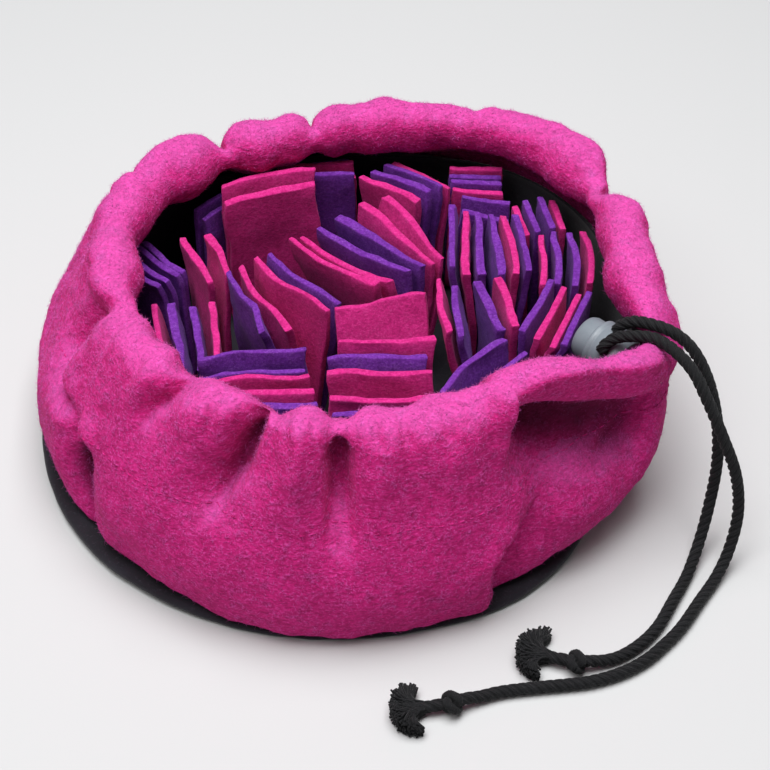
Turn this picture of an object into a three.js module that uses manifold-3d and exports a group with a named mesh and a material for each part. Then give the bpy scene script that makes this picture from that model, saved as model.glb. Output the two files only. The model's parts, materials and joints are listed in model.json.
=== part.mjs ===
// A drawstring snuffle bowl: a gathered ring of boiled wool on a black cloth base, lined in black,
// with folded felt strips standing inside it and a cord lock on the two ends of its drawcord.
// Millimetres, +Z up. The origin is the centre of the base, on the floor that the bowl stands on.
// Azimuths are degrees around +Z from +X: 0 is the right, 90 the back, 180 the left, 270 the front.
import * as THREE from "three";
import { mergeVertices } from "three/addons/utils/BufferGeometryUtils.js";
import Module from "manifold-3d";

const wasm = await Module();
wasm.setup();

// Driving dimensions
const FIT_GAP = 0.3;
const BASE_RADIUS = 120;
const BASE_THICKNESS = 2;
const BASE_EDGE_HEIGHT = 6;
const WALL_THICKNESS = 4.5;
const LINING_THICKNESS = 1.6;
const LINING_CLEARANCE = 3;
const FELT_THICKNESS = 3;
const LOCK_DIAMETER = 19.5;
const CORD_DIAMETER = 4.6;
const CORD_LAY = 18;
const KNOT_RADIUS = 4.6;

// Finishes
const finish = (color, roughness, metalness = 0) => ({ color, roughness, metalness });
const PINK_WOOL = finish(0xb8266f, 0.95);
const BLACK_CLOTH = finish(0x1d1a21, 0.9);
const PINK_FELT = finish(0xb5246e, 0.95);
const PURPLE_FELT = finish(0x4f1f78, 0.95);
const GREY_PLASTIC = finish(0x8b929c, 0.45);
const BLACK_CORD = finish(0x222224, 0.8);

// Rows of numbers with named columns
const named = (columns, rows) => rows.map(
  (row) => Object.fromEntries(columns.map((key, i) => [key, row[i]])));

const radians = THREE.MathUtils.degToRad;
const { lerp, smoothstep } = THREE.MathUtils;

// A repeatable number from -1 to 1 for each whole number
function jitter(index) {
  const wave = Math.sin(index * 12.9898 + 4.1) * 43758.5453;
  return 2 * (wave - Math.floor(wave)) - 1;
}

// Signed angle from b to a, in degrees from -180 to 180
const turn = (a, b) => THREE.MathUtils.euclideanModulo(a - b + 180, 360) - 180;

// A point in the plan at a radius and azimuth, at a height
function polar(radius, azimuth, height) {
  const angle = radians(azimuth);
  return new THREE.Vector3(radius * Math.cos(angle), radius * Math.sin(angle), height);
}

// A mesh in the named finish
function part(name, geometry, look) {
  const mesh = new THREE.Mesh(geometry, new THREE.MeshStandardMaterial(look));
  mesh.name = name;
  return mesh;
}

// A closed geometry from points and triangles, turned so that its faces point out
function closedSolid(points, faces) {
  const edgeA = new THREE.Vector3();
  let volume = 0;
  for (const [a, b, c] of faces) volume += edgeA.crossVectors(points[a], points[b]).dot(points[c]);
  const index = faces.flatMap(([a, b, c]) => (volume > 0 ? [a, b, c] : [a, c, b]));
  const geometry = new THREE.BufferGeometry().setFromPoints(points);
  geometry.setIndex(index);
  return geometry;
}

// The two triangles of a four-cornered face
const quad = (a, b, c, d) => [[a, b, c], [a, c, d]];

// Faces between rings of equal length, each ring closed on itself
function bandFaces(ringCount, ringLength, loop) {
  const faces = [];
  const bands = loop ? ringCount : ringCount - 1;
  for (let r = 0; r < bands; r += 1) {
    const low = r * ringLength;
    const high = ((r + 1) % ringCount) * ringLength;
    for (let i = 0; i < ringLength; i += 1) {
      const next = (i + 1) % ringLength;
      faces.push(...quad(low + i, low + next, high + next, high + i));
    }
  }
  return faces;
}

// A solid through rings of points that join up with the first ring, such as a gathered ring of cloth
function loopLoft(rings) {
  return closedSolid(rings.flat(), bandFaces(rings.length, rings[0].length, true));
}

// A solid through rings of points, closed at each end by a fan around its middle point
function cappedLoft(rings, startPoint, endPoint) {
  const size = rings[0].length;
  const points = [...rings.flat(), startPoint, endPoint];
  const faces = bandFaces(rings.length, size, false);
  const start = rings.length * size;
  const last = start - size;
  for (let i = 0; i < size; i += 1) {
    const next = (i + 1) % size;
    faces.push([start, next, i], [start + 1, last + i, last + next]);
  }
  return closedSolid(points, faces);
}

// A solid through outlines of a bent strip, each listed along one side of the strip and back along the other
function stripLoft(rings) {
  const size = rings[0].length;
  const last = (rings.length - 1) * size;
  const faces = bandFaces(rings.length, size, false);
  for (let i = 0; i < size / 2 - 1; i += 1) {
    const across = size - 1 - i;
    faces.push(...quad(i, across, across - 1, i + 1));
    faces.push(...quad(last + i, last + i + 1, last + across - 1, last + across));
  }
  return closedSolid(rings.flat(), faces);
}

// A tube along a curve. radiusAt gives the section's radius at a side's angle, so that a rope shows its lay
function tube(curve, steps, sides, radiusAt, turnsPerLength = 0) {
  const frames = curve.computeFrenetFrames(steps);
  const length = curve.getLength();
  const rings = [];
  for (let s = 0; s <= steps; s += 1) {
    const centre = curve.getPointAt(s / steps);
    const ring = [];
    for (let i = 0; i < sides; i += 1) {
      const angle = (2 * Math.PI * i) / sides;
      const turned = angle + 2 * Math.PI * turnsPerLength * length * (s / steps);
      const reach = radiusAt(angle, s / steps);
      ring.push(centre.clone()
        .addScaledVector(frames.normals[s], reach * Math.cos(turned))
        .addScaledVector(frames.binormals[s], reach * Math.sin(turned)));
    }
    rings.push(ring);
  }
  return cappedLoft(rings, curve.getPointAt(0), curve.getPointAt(1));
}

// Solids joined into one
function joined(geometries) {
  const bodies = geometries.map((geometry) => {
    const bare = geometry.clone();
    bare.deleteAttribute("normal");
    bare.deleteAttribute("uv");
    const merged = mergeVertices(bare);
    return new wasm.Manifold(new wasm.Mesh({
      numProp: 3,
      vertProperties: new Float32Array(merged.attributes.position.array),
      triVerts: new Uint32Array(merged.index.array),
    }));
  });
  const mesh = bodies.reduce((whole, body) => whole.add(body)).getMesh();
  const geometry = new THREE.BufferGeometry();
  geometry.setAttribute("position", new THREE.BufferAttribute(new Float32Array(mesh.vertProperties), 3));
  geometry.setIndex(new THREE.BufferAttribute(new Uint32Array(mesh.triVerts), 1));
  return geometry;
}

// A lathe whose axis is +Z
const lathe = (profile, segments) => new THREE.LatheGeometry(
  profile.map(([radius, height]) => new THREE.Vector2(radius, height)), segments).rotateX(Math.PI / 2);

// The wall's shape by azimuth: its foot, its widest place, and its rim roll's middle, top and half thickness
const WALL_STATIONS = named(
  ["azimuth", "footRadius", "footHeight", "bellyRadius", "bellyHeight", "rimRadius", "rimTop", "roll"], [
    [0, 118.5, 6.7, 121, 36, 109, 90.5, 10.5],
    [17, 118.5, 6.7, 120, 36, 107.5, 90, 10.5],
    [33, 118.5, 6.7, 120, 36, 107.5, 89, 11],
    [50, 118, 6.7, 119, 36, 102, 90, 11],
    [68, 118, 6.7, 119, 36, 89.5, 89, 11],
    [92, 118, 6.7, 118.5, 36, 79, 90, 11],
    [112, 118, 6.7, 118, 36, 76.5, 89, 11],
    [133, 118, 6.7, 117.5, 36, 80.5, 89.5, 11],
    [155, 117.5, 6.7, 117, 36, 85, 89, 11],
    [180, 116.5, 6.7, 117, 38, 86, 89, 11],
    [200, 116, 6.7, 118, 38, 85, 89.5, 11],
    [218, 116, 6.7, 119, 36, 89, 90, 11],
    [236, 116.5, 6.7, 119.5, 34, 92.5, 91, 11],
    [250, 119, 4.2, 122, 30, 94.5, 92, 10.5],
    [262, 120, 2.8, 123.5, 28, 96, 92.5, 10.5],
    [283, 120, 2.8, 123.5, 28, 97, 92.5, 10.5],
    [296, 119.5, 3.4, 123, 30, 98.5, 92.5, 10.5],
    [308, 117.5, 6.7, 123, 34, 101.5, 92, 10.5],
    [318, 117.5, 6.7, 128, 33, 108.5, 90.5, 10],
    [326, 117.5, 6.7, 131.5, 32, 117.5, 87, 9],
    [333, 118, 6.7, 131.5, 33, 123, 86, 8.5],
    [341, 118.3, 6.7, 128.5, 34, 118, 87.5, 9.5],
    [349, 118.5, 6.7, 125, 34, 112, 88, 11],
  ]);

// Soft troughs in the wall: where each is, its half width and depth, the heights it runs between, its slant
const WALL_FOLDS = named(["azimuth", "halfWidth", "depth", "low", "high", "slant"], [
  [271.2, 3.8, 7.0, 46, 96, 0],
  [253.8, 4.2, 7.0, 48, 96, 0.19],
  [233.5, 3.6, 4.5, 64, 99, 0.4],
  [217.6, 4.2, 7.0, 12, 46, 0],
  [200, 5.5, 6.0, 48, 96, 0.25],
  [305.5, 5.0, 4.5, 6, 62, 0.25],
  [316, 13, 7.0, 52, 78, 0],
  [338, 5.0, 7.0, 58, 96, 0],
  [17.5, 5.0, 9.0, 52, 99, 0.1],
  [37, 4.5, 1.5, 55, 99, 0],
  [57, 5.5, 3.5, 58, 99, 0],
  [99, 3.6, 6.0, 50, 99, 0],
  [127, 3.8, 7.0, 46, 99, 0],
  [152, 5.0, 1.5, 50, 99, 0.1],
  [176, 4.5, 1.5, 58, 96, 0],
  [285, 4.5, 3.0, 60, 96, 0.05],
]);
const FOLD_FADE = 14;
const FOLD_SHEET_LIMIT = 2.6;
const GATHERS = named(["count", "depth", "phase"], [[17, 0.9, 0.4], [29, 0.7, 2.1]]);
const GATHER_LEVEL = { start: 55, full: 75 };
const WALL_AZIMUTH_STEPS = 120;

// A station value at any azimuth, on a smooth curve through the stations around the bowl
function stationValue(column, azimuth) {
  const count = WALL_STATIONS.length;
  const at = (i) => WALL_STATIONS[(i + count) % count];
  let i = 0;
  while (i < count - 1 && WALL_STATIONS[i + 1].azimuth <= azimuth) i += 1;
  const span = (a, b) => THREE.MathUtils.euclideanModulo(at(b).azimuth - at(a).azimuth, 360);
  const width = span(i, i + 1);
  const t = turn(azimuth, at(i).azimuth) / width;
  const slopeIn = (at(i + 1)[column] - at(i - 1)[column]) / (span(i - 1, i) + width);
  const slopeOut = (at(i + 2)[column] - at(i)[column]) / (width + span(i + 1, i + 2));
  const t2 = t * t;
  const t3 = t2 * t;
  return (2 * t3 - 3 * t2 + 1) * at(i)[column] + (t3 - 2 * t2 + t) * width * slopeIn
    + (3 * t2 - 2 * t3) * at(i + 1)[column] + (t3 - t2) * width * slopeOut;
}

// How deep the folds press into the wall at an azimuth and height
function foldDepth(azimuth, height) {
  let depth = 0;
  for (const fold of WALL_FOLDS) {
    const middle = fold.azimuth + fold.slant * (height - (fold.low + fold.high) / 2);
    const across = turn(azimuth, middle) / fold.halfWidth;
    const along = smoothstep(height, fold.low, fold.low + FOLD_FADE)
      * (1 - smoothstep(height, fold.high - FOLD_FADE / 2, fold.high + FOLD_FADE / 2));
    depth += fold.depth * Math.exp(-across * across) * along;
  }
  return depth;
}

// Fine gathers of the drawn-up casing
const gatherDepth = (azimuth) => GATHERS.reduce(
  (sum, wave) => sum + wave.depth * Math.sin(wave.count * radians(azimuth) + wave.phase), 0);

// The rim roll's section from its outer side over the top to its underside, in units of its half thickness
const ROLL_SHOULDER = { out: 1, up: -0.2 };
const WALL_MIDDLE_SHARE = 0.5;
const ROLL_SECTION = named(["out", "up"], [
  [0.72, 0.7],
  [-0.05, 1],
  [-0.78, 0.66],
  [-1, -0.1],
  [-0.62, -0.85],
  [0.25, -1.2],
]);

// The wall's section at an azimuth, as radius and height: up the outside, over the rim roll, down the inside
function wallControls(azimuth) {
  const foot = new THREE.Vector2(stationValue("footRadius", azimuth), stationValue("footHeight", azimuth));
  const belly = new THREE.Vector2(stationValue("bellyRadius", azimuth), stationValue("bellyHeight", azimuth));
  const rim = stationValue("rimRadius", azimuth);
  const roll = stationValue("roll", azimuth);
  const level = stationValue("rimTop", azimuth) - roll;
  const onRoll = ({ out, up }) => new THREE.Vector2(rim + out * roll, level + up * roll);
  const shoulder = onRoll(ROLL_SHOULDER);
  const inside = new THREE.Vector2(-WALL_THICKNESS, 0);
  return [
    foot,
    belly,
    shoulder,
    ...ROLL_SECTION.map(onRoll),
    shoulder.clone().lerp(belly, WALL_MIDDLE_SHARE).add(inside),
    belly.clone().add(inside),
    foot.clone().add(inside),
  ];
}
const WALL_OUTER_SAMPLES = [0, 0.33, 0.67, 1, 1.25, 1.5, 1.75, 2, 3, 4, 5, 6, 7, 8];
const WALL_INNER_SAMPLES = [9, 10, 11];
const WALL_CONTROL_SPANS = 11;

function wallRing(azimuth) {
  const curve = new THREE.SplineCurve(wallControls(azimuth));
  const outer = WALL_OUTER_SAMPLES.map((sample) => {
    const t = sample / WALL_CONTROL_SPANS;
    const point = curve.getPoint(t);
    const along = curve.getTangent(t);
    const press = foldDepth(azimuth, point.y)
      + gatherDepth(azimuth) * smoothstep(point.y, GATHER_LEVEL.start, GATHER_LEVEL.full);
    return polar(point.x - press * along.y, azimuth, point.y + press * along.x);
  });
  const inner = WALL_INNER_SAMPLES.map((sample) => {
    const point = curve.getPoint(sample / WALL_CONTROL_SPANS);
    return polar(point.x - Math.min(foldDepth(azimuth, point.y), FOLD_SHEET_LIMIT), azimuth, point.y);
  });
  return [...outer, ...inner];
}

function wall() {
  const step = 360 / WALL_AZIMUTH_STEPS;
  const rings = Array.from({ length: WALL_AZIMUTH_STEPS }, (_, i) => wallRing(i * step));
  return part("wall", loopLoft(rings), PINK_WOOL);
}

// Black base: a flat disc whose soft edge stands up as far as the wall's foot leaves it showing
const ROUND_SEGMENTS = 60;
const FOOT_GAP = 0.5;
const BASE_EDGE = { underside: 2, widestShare: 0.45, crest: 1.4, width: 10 };
function baseDisc() {
  const rings = [[], [], [], []];
  for (let i = 0; i < ROUND_SEGMENTS; i += 1) {
    const azimuth = (360 * i) / ROUND_SEGMENTS;
    const edge = Math.min(stationValue("footHeight", azimuth) - FOOT_GAP, BASE_EDGE_HEIGHT);
    rings[0].push(polar(BASE_RADIUS - BASE_EDGE.underside, azimuth, 0));
    rings[1].push(polar(BASE_RADIUS, azimuth, BASE_EDGE.widestShare * edge));
    rings[2].push(polar(BASE_RADIUS - BASE_EDGE.crest, azimuth, edge));
    rings[3].push(polar(BASE_RADIUS - BASE_EDGE.width, azimuth, BASE_THICKNESS));
  }
  const geometry = cappedLoft(rings, new THREE.Vector3(0, 0, 0), new THREE.Vector3(0, 0, BASE_THICKNESS));
  return part("base_disc", geometry, BLACK_CLOTH);
}

// Black lining: an inner bag whose floor lies on the base and whose side ends under the rim roll
const LINING_FLOOR = BASE_THICKNESS + FIT_GAP;
const FELT_FLOOR = LINING_FLOOR + LINING_THICKNESS;
const LINING_CORNER = { floorRadius: 101, sideRadius: 108.5, sideHeight: 13 };
const LINING_TOP_SHARE = 0.5;
const LINING_LEVELS = 5;
function lining() {
  const outerRings = Array.from({ length: LINING_LEVELS }, () => []);
  const innerRings = Array.from({ length: LINING_LEVELS }, () => []);
  for (let i = 0; i < ROUND_SEGMENTS; i += 1) {
    const azimuth = (360 * i) / ROUND_SEGMENTS;
    const controls = wallControls(azimuth);
    const [underRoll, middle, belly] = [controls[8], controls[9], controls[10]];
    const top = underRoll.clone().lerp(middle, LINING_TOP_SHARE);
    const line = [
      [LINING_CORNER.floorRadius, LINING_FLOOR],
      [LINING_CORNER.sideRadius, LINING_CORNER.sideHeight],
      [belly.x - LINING_CLEARANCE, belly.y],
      [middle.x - LINING_CLEARANCE, middle.y],
      [top.x - LINING_CLEARANCE, top.y - LINING_CLEARANCE],
    ];
    line.forEach(([radius, height], level) => {
      const lift = level === 0 ? LINING_THICKNESS : 0;
      outerRings[level].push(polar(radius, azimuth, height));
      innerRings[level].push(polar(radius - LINING_THICKNESS, azimuth, height + lift));
    });
  }
  const rings = [...outerRings, ...innerRings.reverse()];
  const underside = new THREE.Vector3(0, 0, LINING_FLOOR);
  const upperside = new THREE.Vector3(0, 0, FELT_FLOOR);
  return part("lining", cappedLoft(rings, underside, upperside), BLACK_CLOTH);
}

// Felt strips in nested stacks. Each row is one stack: where its folds are sewn down, the direction they run
// in, the strips' width and the level of their tips, their colours from the outermost in (p pink, v purple),
// how many degrees from upright the first and last leaf lean at the two ends of the fold, to its left, how
// much further the last leaf's tip curls over, and how far the two halves gape at the end of the fold.
const LEAN_COLUMNS = ["startLow", "startHigh", "endLow", "endHigh", "curl", "gape"];
const FELT_STACKS = named(
  ["name", "x", "y", "heading", "width", "tip", "colours", ...LEAN_COLUMNS], [
    ["front_left", -26, -62, 11, 38, 66, "vvp", -6, 12, -6, 12, 0, 0],
    ["front", 18, -39.8, 4, 38, 67, "p", 9, 22, 9, 22, 3, 0],
    ["near_front", 16, -57.5, 6, 38, 67, "vp", -9, 12, -9, 12, 3, 0],
    ["front_right", 56, -50, 45, 36, 66, "v", -4, 6, -4, 6, 5, 0],
    ["inner_left", -22, -4, -50, 35, 66, "vp", -5, 5, -9, 4, 0, 11],
    ["left", -53, -25, -79, 36, 62, "pv", -7, 1, -7, 1, 0, 0],
    ["left_long", -51.3, 15, -71, 27, 63, "p", -1, 3, -1, 3, 0, 0],
    ["far_left", -71, 15.5, -38, 27, 61, "vv", -4, 3, -4, -2, 0, 0],
    ["corner", -48.2, 60, 47, 30, 58.5, "v", -2, -2, -2, -2, 0, 0],
    ["back_left", -28.2, 51.9, 16, 38, 66, "p", -4, 2, -4, 2, 0, 0],
    ["back", -12, 74, 11, 34, 61.5, "vp", -4, -2, -4, -2, 0, 0],
    ["back_middle", 26, 63, -44, 29, 64, "pv", -4, 2, -4, 2, 0, 0],
    ["back_right", 55, 69.7, -1, 22, 63, "pv", -3, -2, -3, -2, 0, 0],
    ["mid_right", 58, 50.8, -7, 22, 61, "v", -3, 3, -3, 3, 0, 0],
    ["right_back", 80.2, 44.8, -80, 20, 63, "pv", -3, 1, -3, 1, 0, 0],
    ["middle", 15, 22, -56, 42, 66, "ppv", -16, 7, -6, 7, 4, 0],
    ["inner_right", 58.2, 23.8, -87, 34, 66, "vpv", -5, 3, -5, 3, 0, 0],
    ["right", 89.5, 16.5, -94, 32, 65, "pv", -6, 0, -6, 0, 0, 0],
    ["low_right", 56, -12.5, -79, 29, 66, "pv", -8, 1, -6, -2, 0, 8],
    ["lock_side", 83.5, -18.5, -111, 32, 66, "vp", -4, 0, -4, 0, 0, 0],
  ]);
const FELT_SPACING = 0.52;
const FELT_PITCH = FELT_THICKNESS + FELT_SPACING;
const FELT_INNER_BEND = 1.9;
const FELT_HALF_FLAT = 0.6;
const LEAF_STEPS = 3;
const BEND_STEPS = 2;
const WIDTH_STEPS = 2;
const DRAW = { shift: 100, left: 300, right: 400, tip: 50 };
const CUT_VARIATION = { tip: 2.5, width: 0.8, shift: 0.8, lean: 0.2 };

// Where noses and paws have pushed the standing leaves aside: the place, how far around it the push reaches,
// and how far the tips there have moved along X and Y
const LEAF_PUSHES = named(["x", "y", "reach", "alongX", "alongY"], [
  [-70, 22, 20, -3, 4],
  [-46, -12, 16, 4, -2],
  [-30, 4, 15, -4, 3],
  [-8, -22, 15, 4, -3],
  [2, 28, 17, -5, -6],
  [26, 8, 16, 5, 2],
  [-30, 58, 20, 3, 5],
  [32, 60, 16, 4, 3],
  [48, 26, 14, -3, 2],
  [66, 20, 14, 4, -3],
  [92, 12, 13, 3, -3],
  [50, -20, 14, -4, 3],
  [70, -14, 14, 3, 2],
  [30, -52, 18, 3, -4],
  [-36, -62, 17, -3, 4],
  [48, -46, 12, -3, 4],
]);
const PUSH_LEVELS = { start: 12, full: 66 };
const PUSH_CURVE = 1.6;

// A point of a standing leaf moved by the pushes, the more the higher it is
function pushedAside(point) {
  const height = (point.z - PUSH_LEVELS.start) / (PUSH_LEVELS.full - PUSH_LEVELS.start);
  const share = Math.max(height, 0) ** PUSH_CURVE;
  const move = new THREE.Vector3();
  for (const push of LEAF_PUSHES) {
    const away = Math.hypot(point.x - push.x, point.y - push.y) / push.reach;
    move.addScaledVector(new THREE.Vector3(push.alongX, push.alongY, 0), share * Math.exp(-away * away));
  }
  return point.add(move);
}

// The middle line of one leaf, from its fold to its tip, in the plane across the fold
function leafLine(side, bendRadius, bendLevel, lean, curl, tip) {
  const sweep = Math.PI / 2 - side * radians(lean);
  const line = [];
  for (let i = 0; i <= BEND_STEPS; i += 1) {
    const angle = (sweep * i) / BEND_STEPS;
    line.push(new THREE.Vector2(
      side * (FELT_HALF_FLAT + bendRadius * Math.sin(angle)), bendLevel - bendRadius * Math.cos(angle)));
  }
  const rise = (tip - line[BEND_STEPS].y) / LEAF_STEPS;
  for (let i = 0; i < LEAF_STEPS; i += 1) {
    const slope = Math.tan(radians(lean + curl * (i / LEAF_STEPS)));
    const last = line[line.length - 1];
    line.push(new THREE.Vector2(last.x + rise * slope, last.y + rise));
  }
  return line;
}

// A line given the felt's thickness: along one side of it and back along the other
function thickened(line) {
  const half = FELT_THICKNESS / 2;
  const offsets = line.map((point, i) => {
    const before = line[Math.max(i - 1, 0)];
    const after = line[Math.min(i + 1, line.length - 1)];
    const along = after.clone().sub(before).normalize();
    return new THREE.Vector2(-along.y, along.x).multiplyScalar(half);
  });
  const upper = line.map((point, i) => point.clone().add(offsets[i]));
  const lower = line.map((point, i) => point.clone().sub(offsets[i]));
  return [...upper, ...lower.reverse()];
}

// One folded strip of a stack, in the stack's own frame: the fold runs along X, and Y is across it
function foldedStrip(stack, order, seed) {
  const count = stack.colours.length;
  const leafPitch = 1 / (2 * count - 1);
  const halfWidth = stack.width / 2 + CUT_VARIATION.width * jitter(seed);
  const shift = CUT_VARIATION.shift * jitter(seed + DRAW.shift);
  const bendRadius = FELT_INNER_BEND + (count - 1 - order) * FELT_PITCH;
  const bendLevel = FELT_FLOOR + FIT_GAP + FELT_THICKNESS / 2 + (count - 1) * FELT_PITCH + FELT_INNER_BEND;
  const leaf = (side, place, along, own) => {
    const share = place * leafPitch + CUT_VARIATION.lean * leafPitch * jitter(own);
    const low = lerp(stack.startLow, stack.endLow, along);
    const high = lerp(stack.startHigh, stack.endHigh, along);
    const tip = stack.tip + CUT_VARIATION.tip * jitter(own + DRAW.tip);
    const lean = lerp(low, high, share) + (side * stack.gape * along) / 2;
    return leafLine(side, bendRadius, bendLevel, lean, stack.curl * share, tip);
  };
  const toBowl = new THREE.Matrix4().makeRotationZ(radians(stack.heading)).setPosition(stack.x, stack.y, 0);
  const toStack = toBowl.clone().invert();
  const outline = (along) => {
    const left = leaf(-1, order, along, seed + DRAW.left);
    const right = leaf(1, 2 * count - 1 - order, along, seed + DRAW.right);
    const x = shift + lerp(-halfWidth, halfWidth, along);
    return thickened([...left.reverse(), ...right]).map((point) => (
      pushedAside(new THREE.Vector3(x, point.x, point.y).applyMatrix4(toBowl)).applyMatrix4(toStack)));
  };
  return stripLoft(Array.from({ length: WIDTH_STEPS + 1 }, (_, i) => outline(i / WIDTH_STEPS)));
}

function feltStack(stack, stackIndex) {
  const group = new THREE.Group();
  group.position.set(stack.x, stack.y, 0);
  group.rotation.z = radians(stack.heading);
  [...stack.colours].forEach((colour, order) => {
    const look = colour === "p" ? PINK_FELT : PURPLE_FELT;
    const name = `felt_${stack.name}_${order + 1}`;
    group.add(part(name, foldedStrip(stack, order, 10 * stackIndex + order), look));
  });
  return group;
}

// Cord lock: a barrel that is open at one end, and a button that slides in it against a spring
const LOCK_PLACE = new THREE.Vector3(100.5, -40, 66.5);
const LOCK_AZIMUTH = 135;
const LOCK_BARREL_LENGTH = 14;
const LOCK_BORE_RADIUS = 8.5;
const LOCK_BORE_DEPTH = 11.5;
const LOCK_BUTTON_REACH = 7;
const LOCK_TRAVEL = 4;
const LOCK_SEGMENTS = 24;
const LOCK_ROUNDING = { tail: 2.4, mouth: 0.6, button: 2.4 };
const ROUNDING_STEPS = 2;

// A rounded outer edge of a lathe profile. rise is 1 at the profile's upper end and -1 at its lower end
function roundedEdge(radius, height, rounding, rise) {
  return Array.from({ length: ROUNDING_STEPS + 1 }, (_, i) => {
    const angle = (Math.PI / 2) * (i / ROUNDING_STEPS);
    const [near, far] = [1 - Math.cos(angle), 1 - Math.sin(angle)];
    const [across, along] = rise > 0 ? [near, far] : [far, near];
    return [radius - rounding * across, height - rise * rounding * along];
  });
}

function cordLock() {
  const outer = LOCK_DIAMETER / 2;
  const half = LOCK_BARREL_LENGTH / 2;
  const boreFloor = half - LOCK_BORE_DEPTH;
  const barrel = [
    [0, -half],
    ...roundedEdge(outer, -half, LOCK_ROUNDING.tail, -1),
    ...roundedEdge(outer, half, LOCK_ROUNDING.mouth, 1),
    [LOCK_BORE_RADIUS, half],
    [LOCK_BORE_RADIUS, boreFloor],
    [0, boreFloor],
  ];
  const buttonRadius = LOCK_BORE_RADIUS - FIT_GAP;
  const buttonFoot = boreFloor + LOCK_TRAVEL + FIT_GAP;
  const buttonTop = half + LOCK_BUTTON_REACH;
  const button = [
    [0, buttonFoot],
    [buttonRadius, buttonFoot],
    ...roundedEdge(buttonRadius, buttonTop, LOCK_ROUNDING.button, 1),
    [0, buttonTop],
  ];
  const group = new THREE.Group();
  group.position.copy(LOCK_PLACE);
  group.quaternion.setFromUnitVectors(new THREE.Vector3(0, 0, 1), polar(1, LOCK_AZIMUTH, 0));
  group.add(part("lock_barrel", lathe(barrel, LOCK_SEGMENTS), GREY_PLASTIC));
  group.add(part("lock_button", lathe(button, LOCK_SEGMENTS), GREY_PLASTIC));
  return group;
}

// The free ends of the drawcord, from the lock over the rim and down to the floor, chosen by hand
const points = (rows) => rows.map((row) => new THREE.Vector3(...row));
const FLOOR_LEVEL = 2.7;
const CORD_REAR_ROUTE = points([
  [101.6, -38.6, 77.7],
  [106, -40.2, 82],
  [112, -43.2, 83.6],
  [119.5, -47, 83.2],
  [126.2, -50.2, 78.8],
  [132.2, -55.2, 69.5],
  [136.8, -61, 55],
  [138.8, -66, 38],
  [137.6, -71.5, 20],
  [134.2, -80, 7.5],
  [129, -91.5, FLOOR_LEVEL],
  [122.6, -103, FLOOR_LEVEL],
  [115.2, -115.5, FLOOR_LEVEL],
  [108, -123.2, FLOOR_LEVEL],
  [100.2, -128.4, FLOOR_LEVEL],
  [93.5, -130.8, 3.6],
  [90.1, -131.5, KNOT_RADIUS],
]);
const CORD_FRONT_ROUTE = points([
  [95.2, -46.9, 75.2],
  [99.4, -46, 79.2],
  [105.6, -47.6, 81.8],
  [112.8, -50.2, 83],
  [119.6, -55.2, 81.6],
  [125.6, -61.4, 77.8],
  [130.6, -67.4, 70],
  [137, -72.5, 57],
  [143.6, -75.5, 40],
  [147.2, -77.5, 22],
  [145.4, -83, 8],
  [139.8, -92, 3.1],
  [132, -103.2, FLOOR_LEVEL],
  [123.6, -115.8, FLOOR_LEVEL],
  [117, -123, FLOOR_LEVEL],
  [109.6, -129.8, FLOOR_LEVEL],
  [100.4, -135.2, FLOOR_LEVEL],
  [89.8, -138.8, FLOOR_LEVEL],
  [79, -140.4, FLOOR_LEVEL],
  [68.4, -141.6, FLOOR_LEVEL],
  [58, -143.2, FLOOR_LEVEL],
  [50, -145.8, 3.4],
  [45.4, -147.4, KNOT_RADIUS],
]);
const CORD_STEP = 2;
const CORD_SIDES = 6;
const CORD_STRANDS = 3;
const LAY_HEIGHT = 0.3;
function cord(name, route) {
  const curve = new THREE.CatmullRomCurve3(route, false, "centripetal");
  const steps = Math.round(curve.getLength() / CORD_STEP);
  const middle = (CORD_DIAMETER - LAY_HEIGHT) / 2;
  const reach = (angle) => middle + (LAY_HEIGHT / 2) * Math.cos(CORD_STRANDS * angle);
  return part(name, tube(curve, steps, CORD_SIDES, reach, 1 / CORD_LAY), BLACK_CORD);
}

// An overhand knot: a core with two crossing wraps
const KNOT_WRAP = { tilt: 24, shift: 1.1, radius: 1.75 };
const KNOT_CORE = { inset: 1, around: 10, along: 6 };
const KNOT_WRAP_SIDES = 6;
const KNOT_WRAP_STEPS = 12;
const KNOT_HALF_LENGTH = 3.9;
function knot(name, place, heading) {
  const ring = KNOT_RADIUS - KNOT_WRAP.radius;
  const wrap = (side) => new THREE.TorusGeometry(ring, KNOT_WRAP.radius, KNOT_WRAP_SIDES, KNOT_WRAP_STEPS)
    .rotateY(Math.PI / 2)
    .rotateZ(radians(side * KNOT_WRAP.tilt))
    .translate(side * KNOT_WRAP.shift, 0, 0);
  const core = new THREE.SphereGeometry(KNOT_RADIUS - KNOT_CORE.inset, KNOT_CORE.around, KNOT_CORE.along);
  const mesh = part(name, joined([core, wrap(1), wrap(-1)]), BLACK_CORD);
  mesh.position.copy(place);
  mesh.rotation.z = radians(heading);
  return mesh;
}

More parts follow.
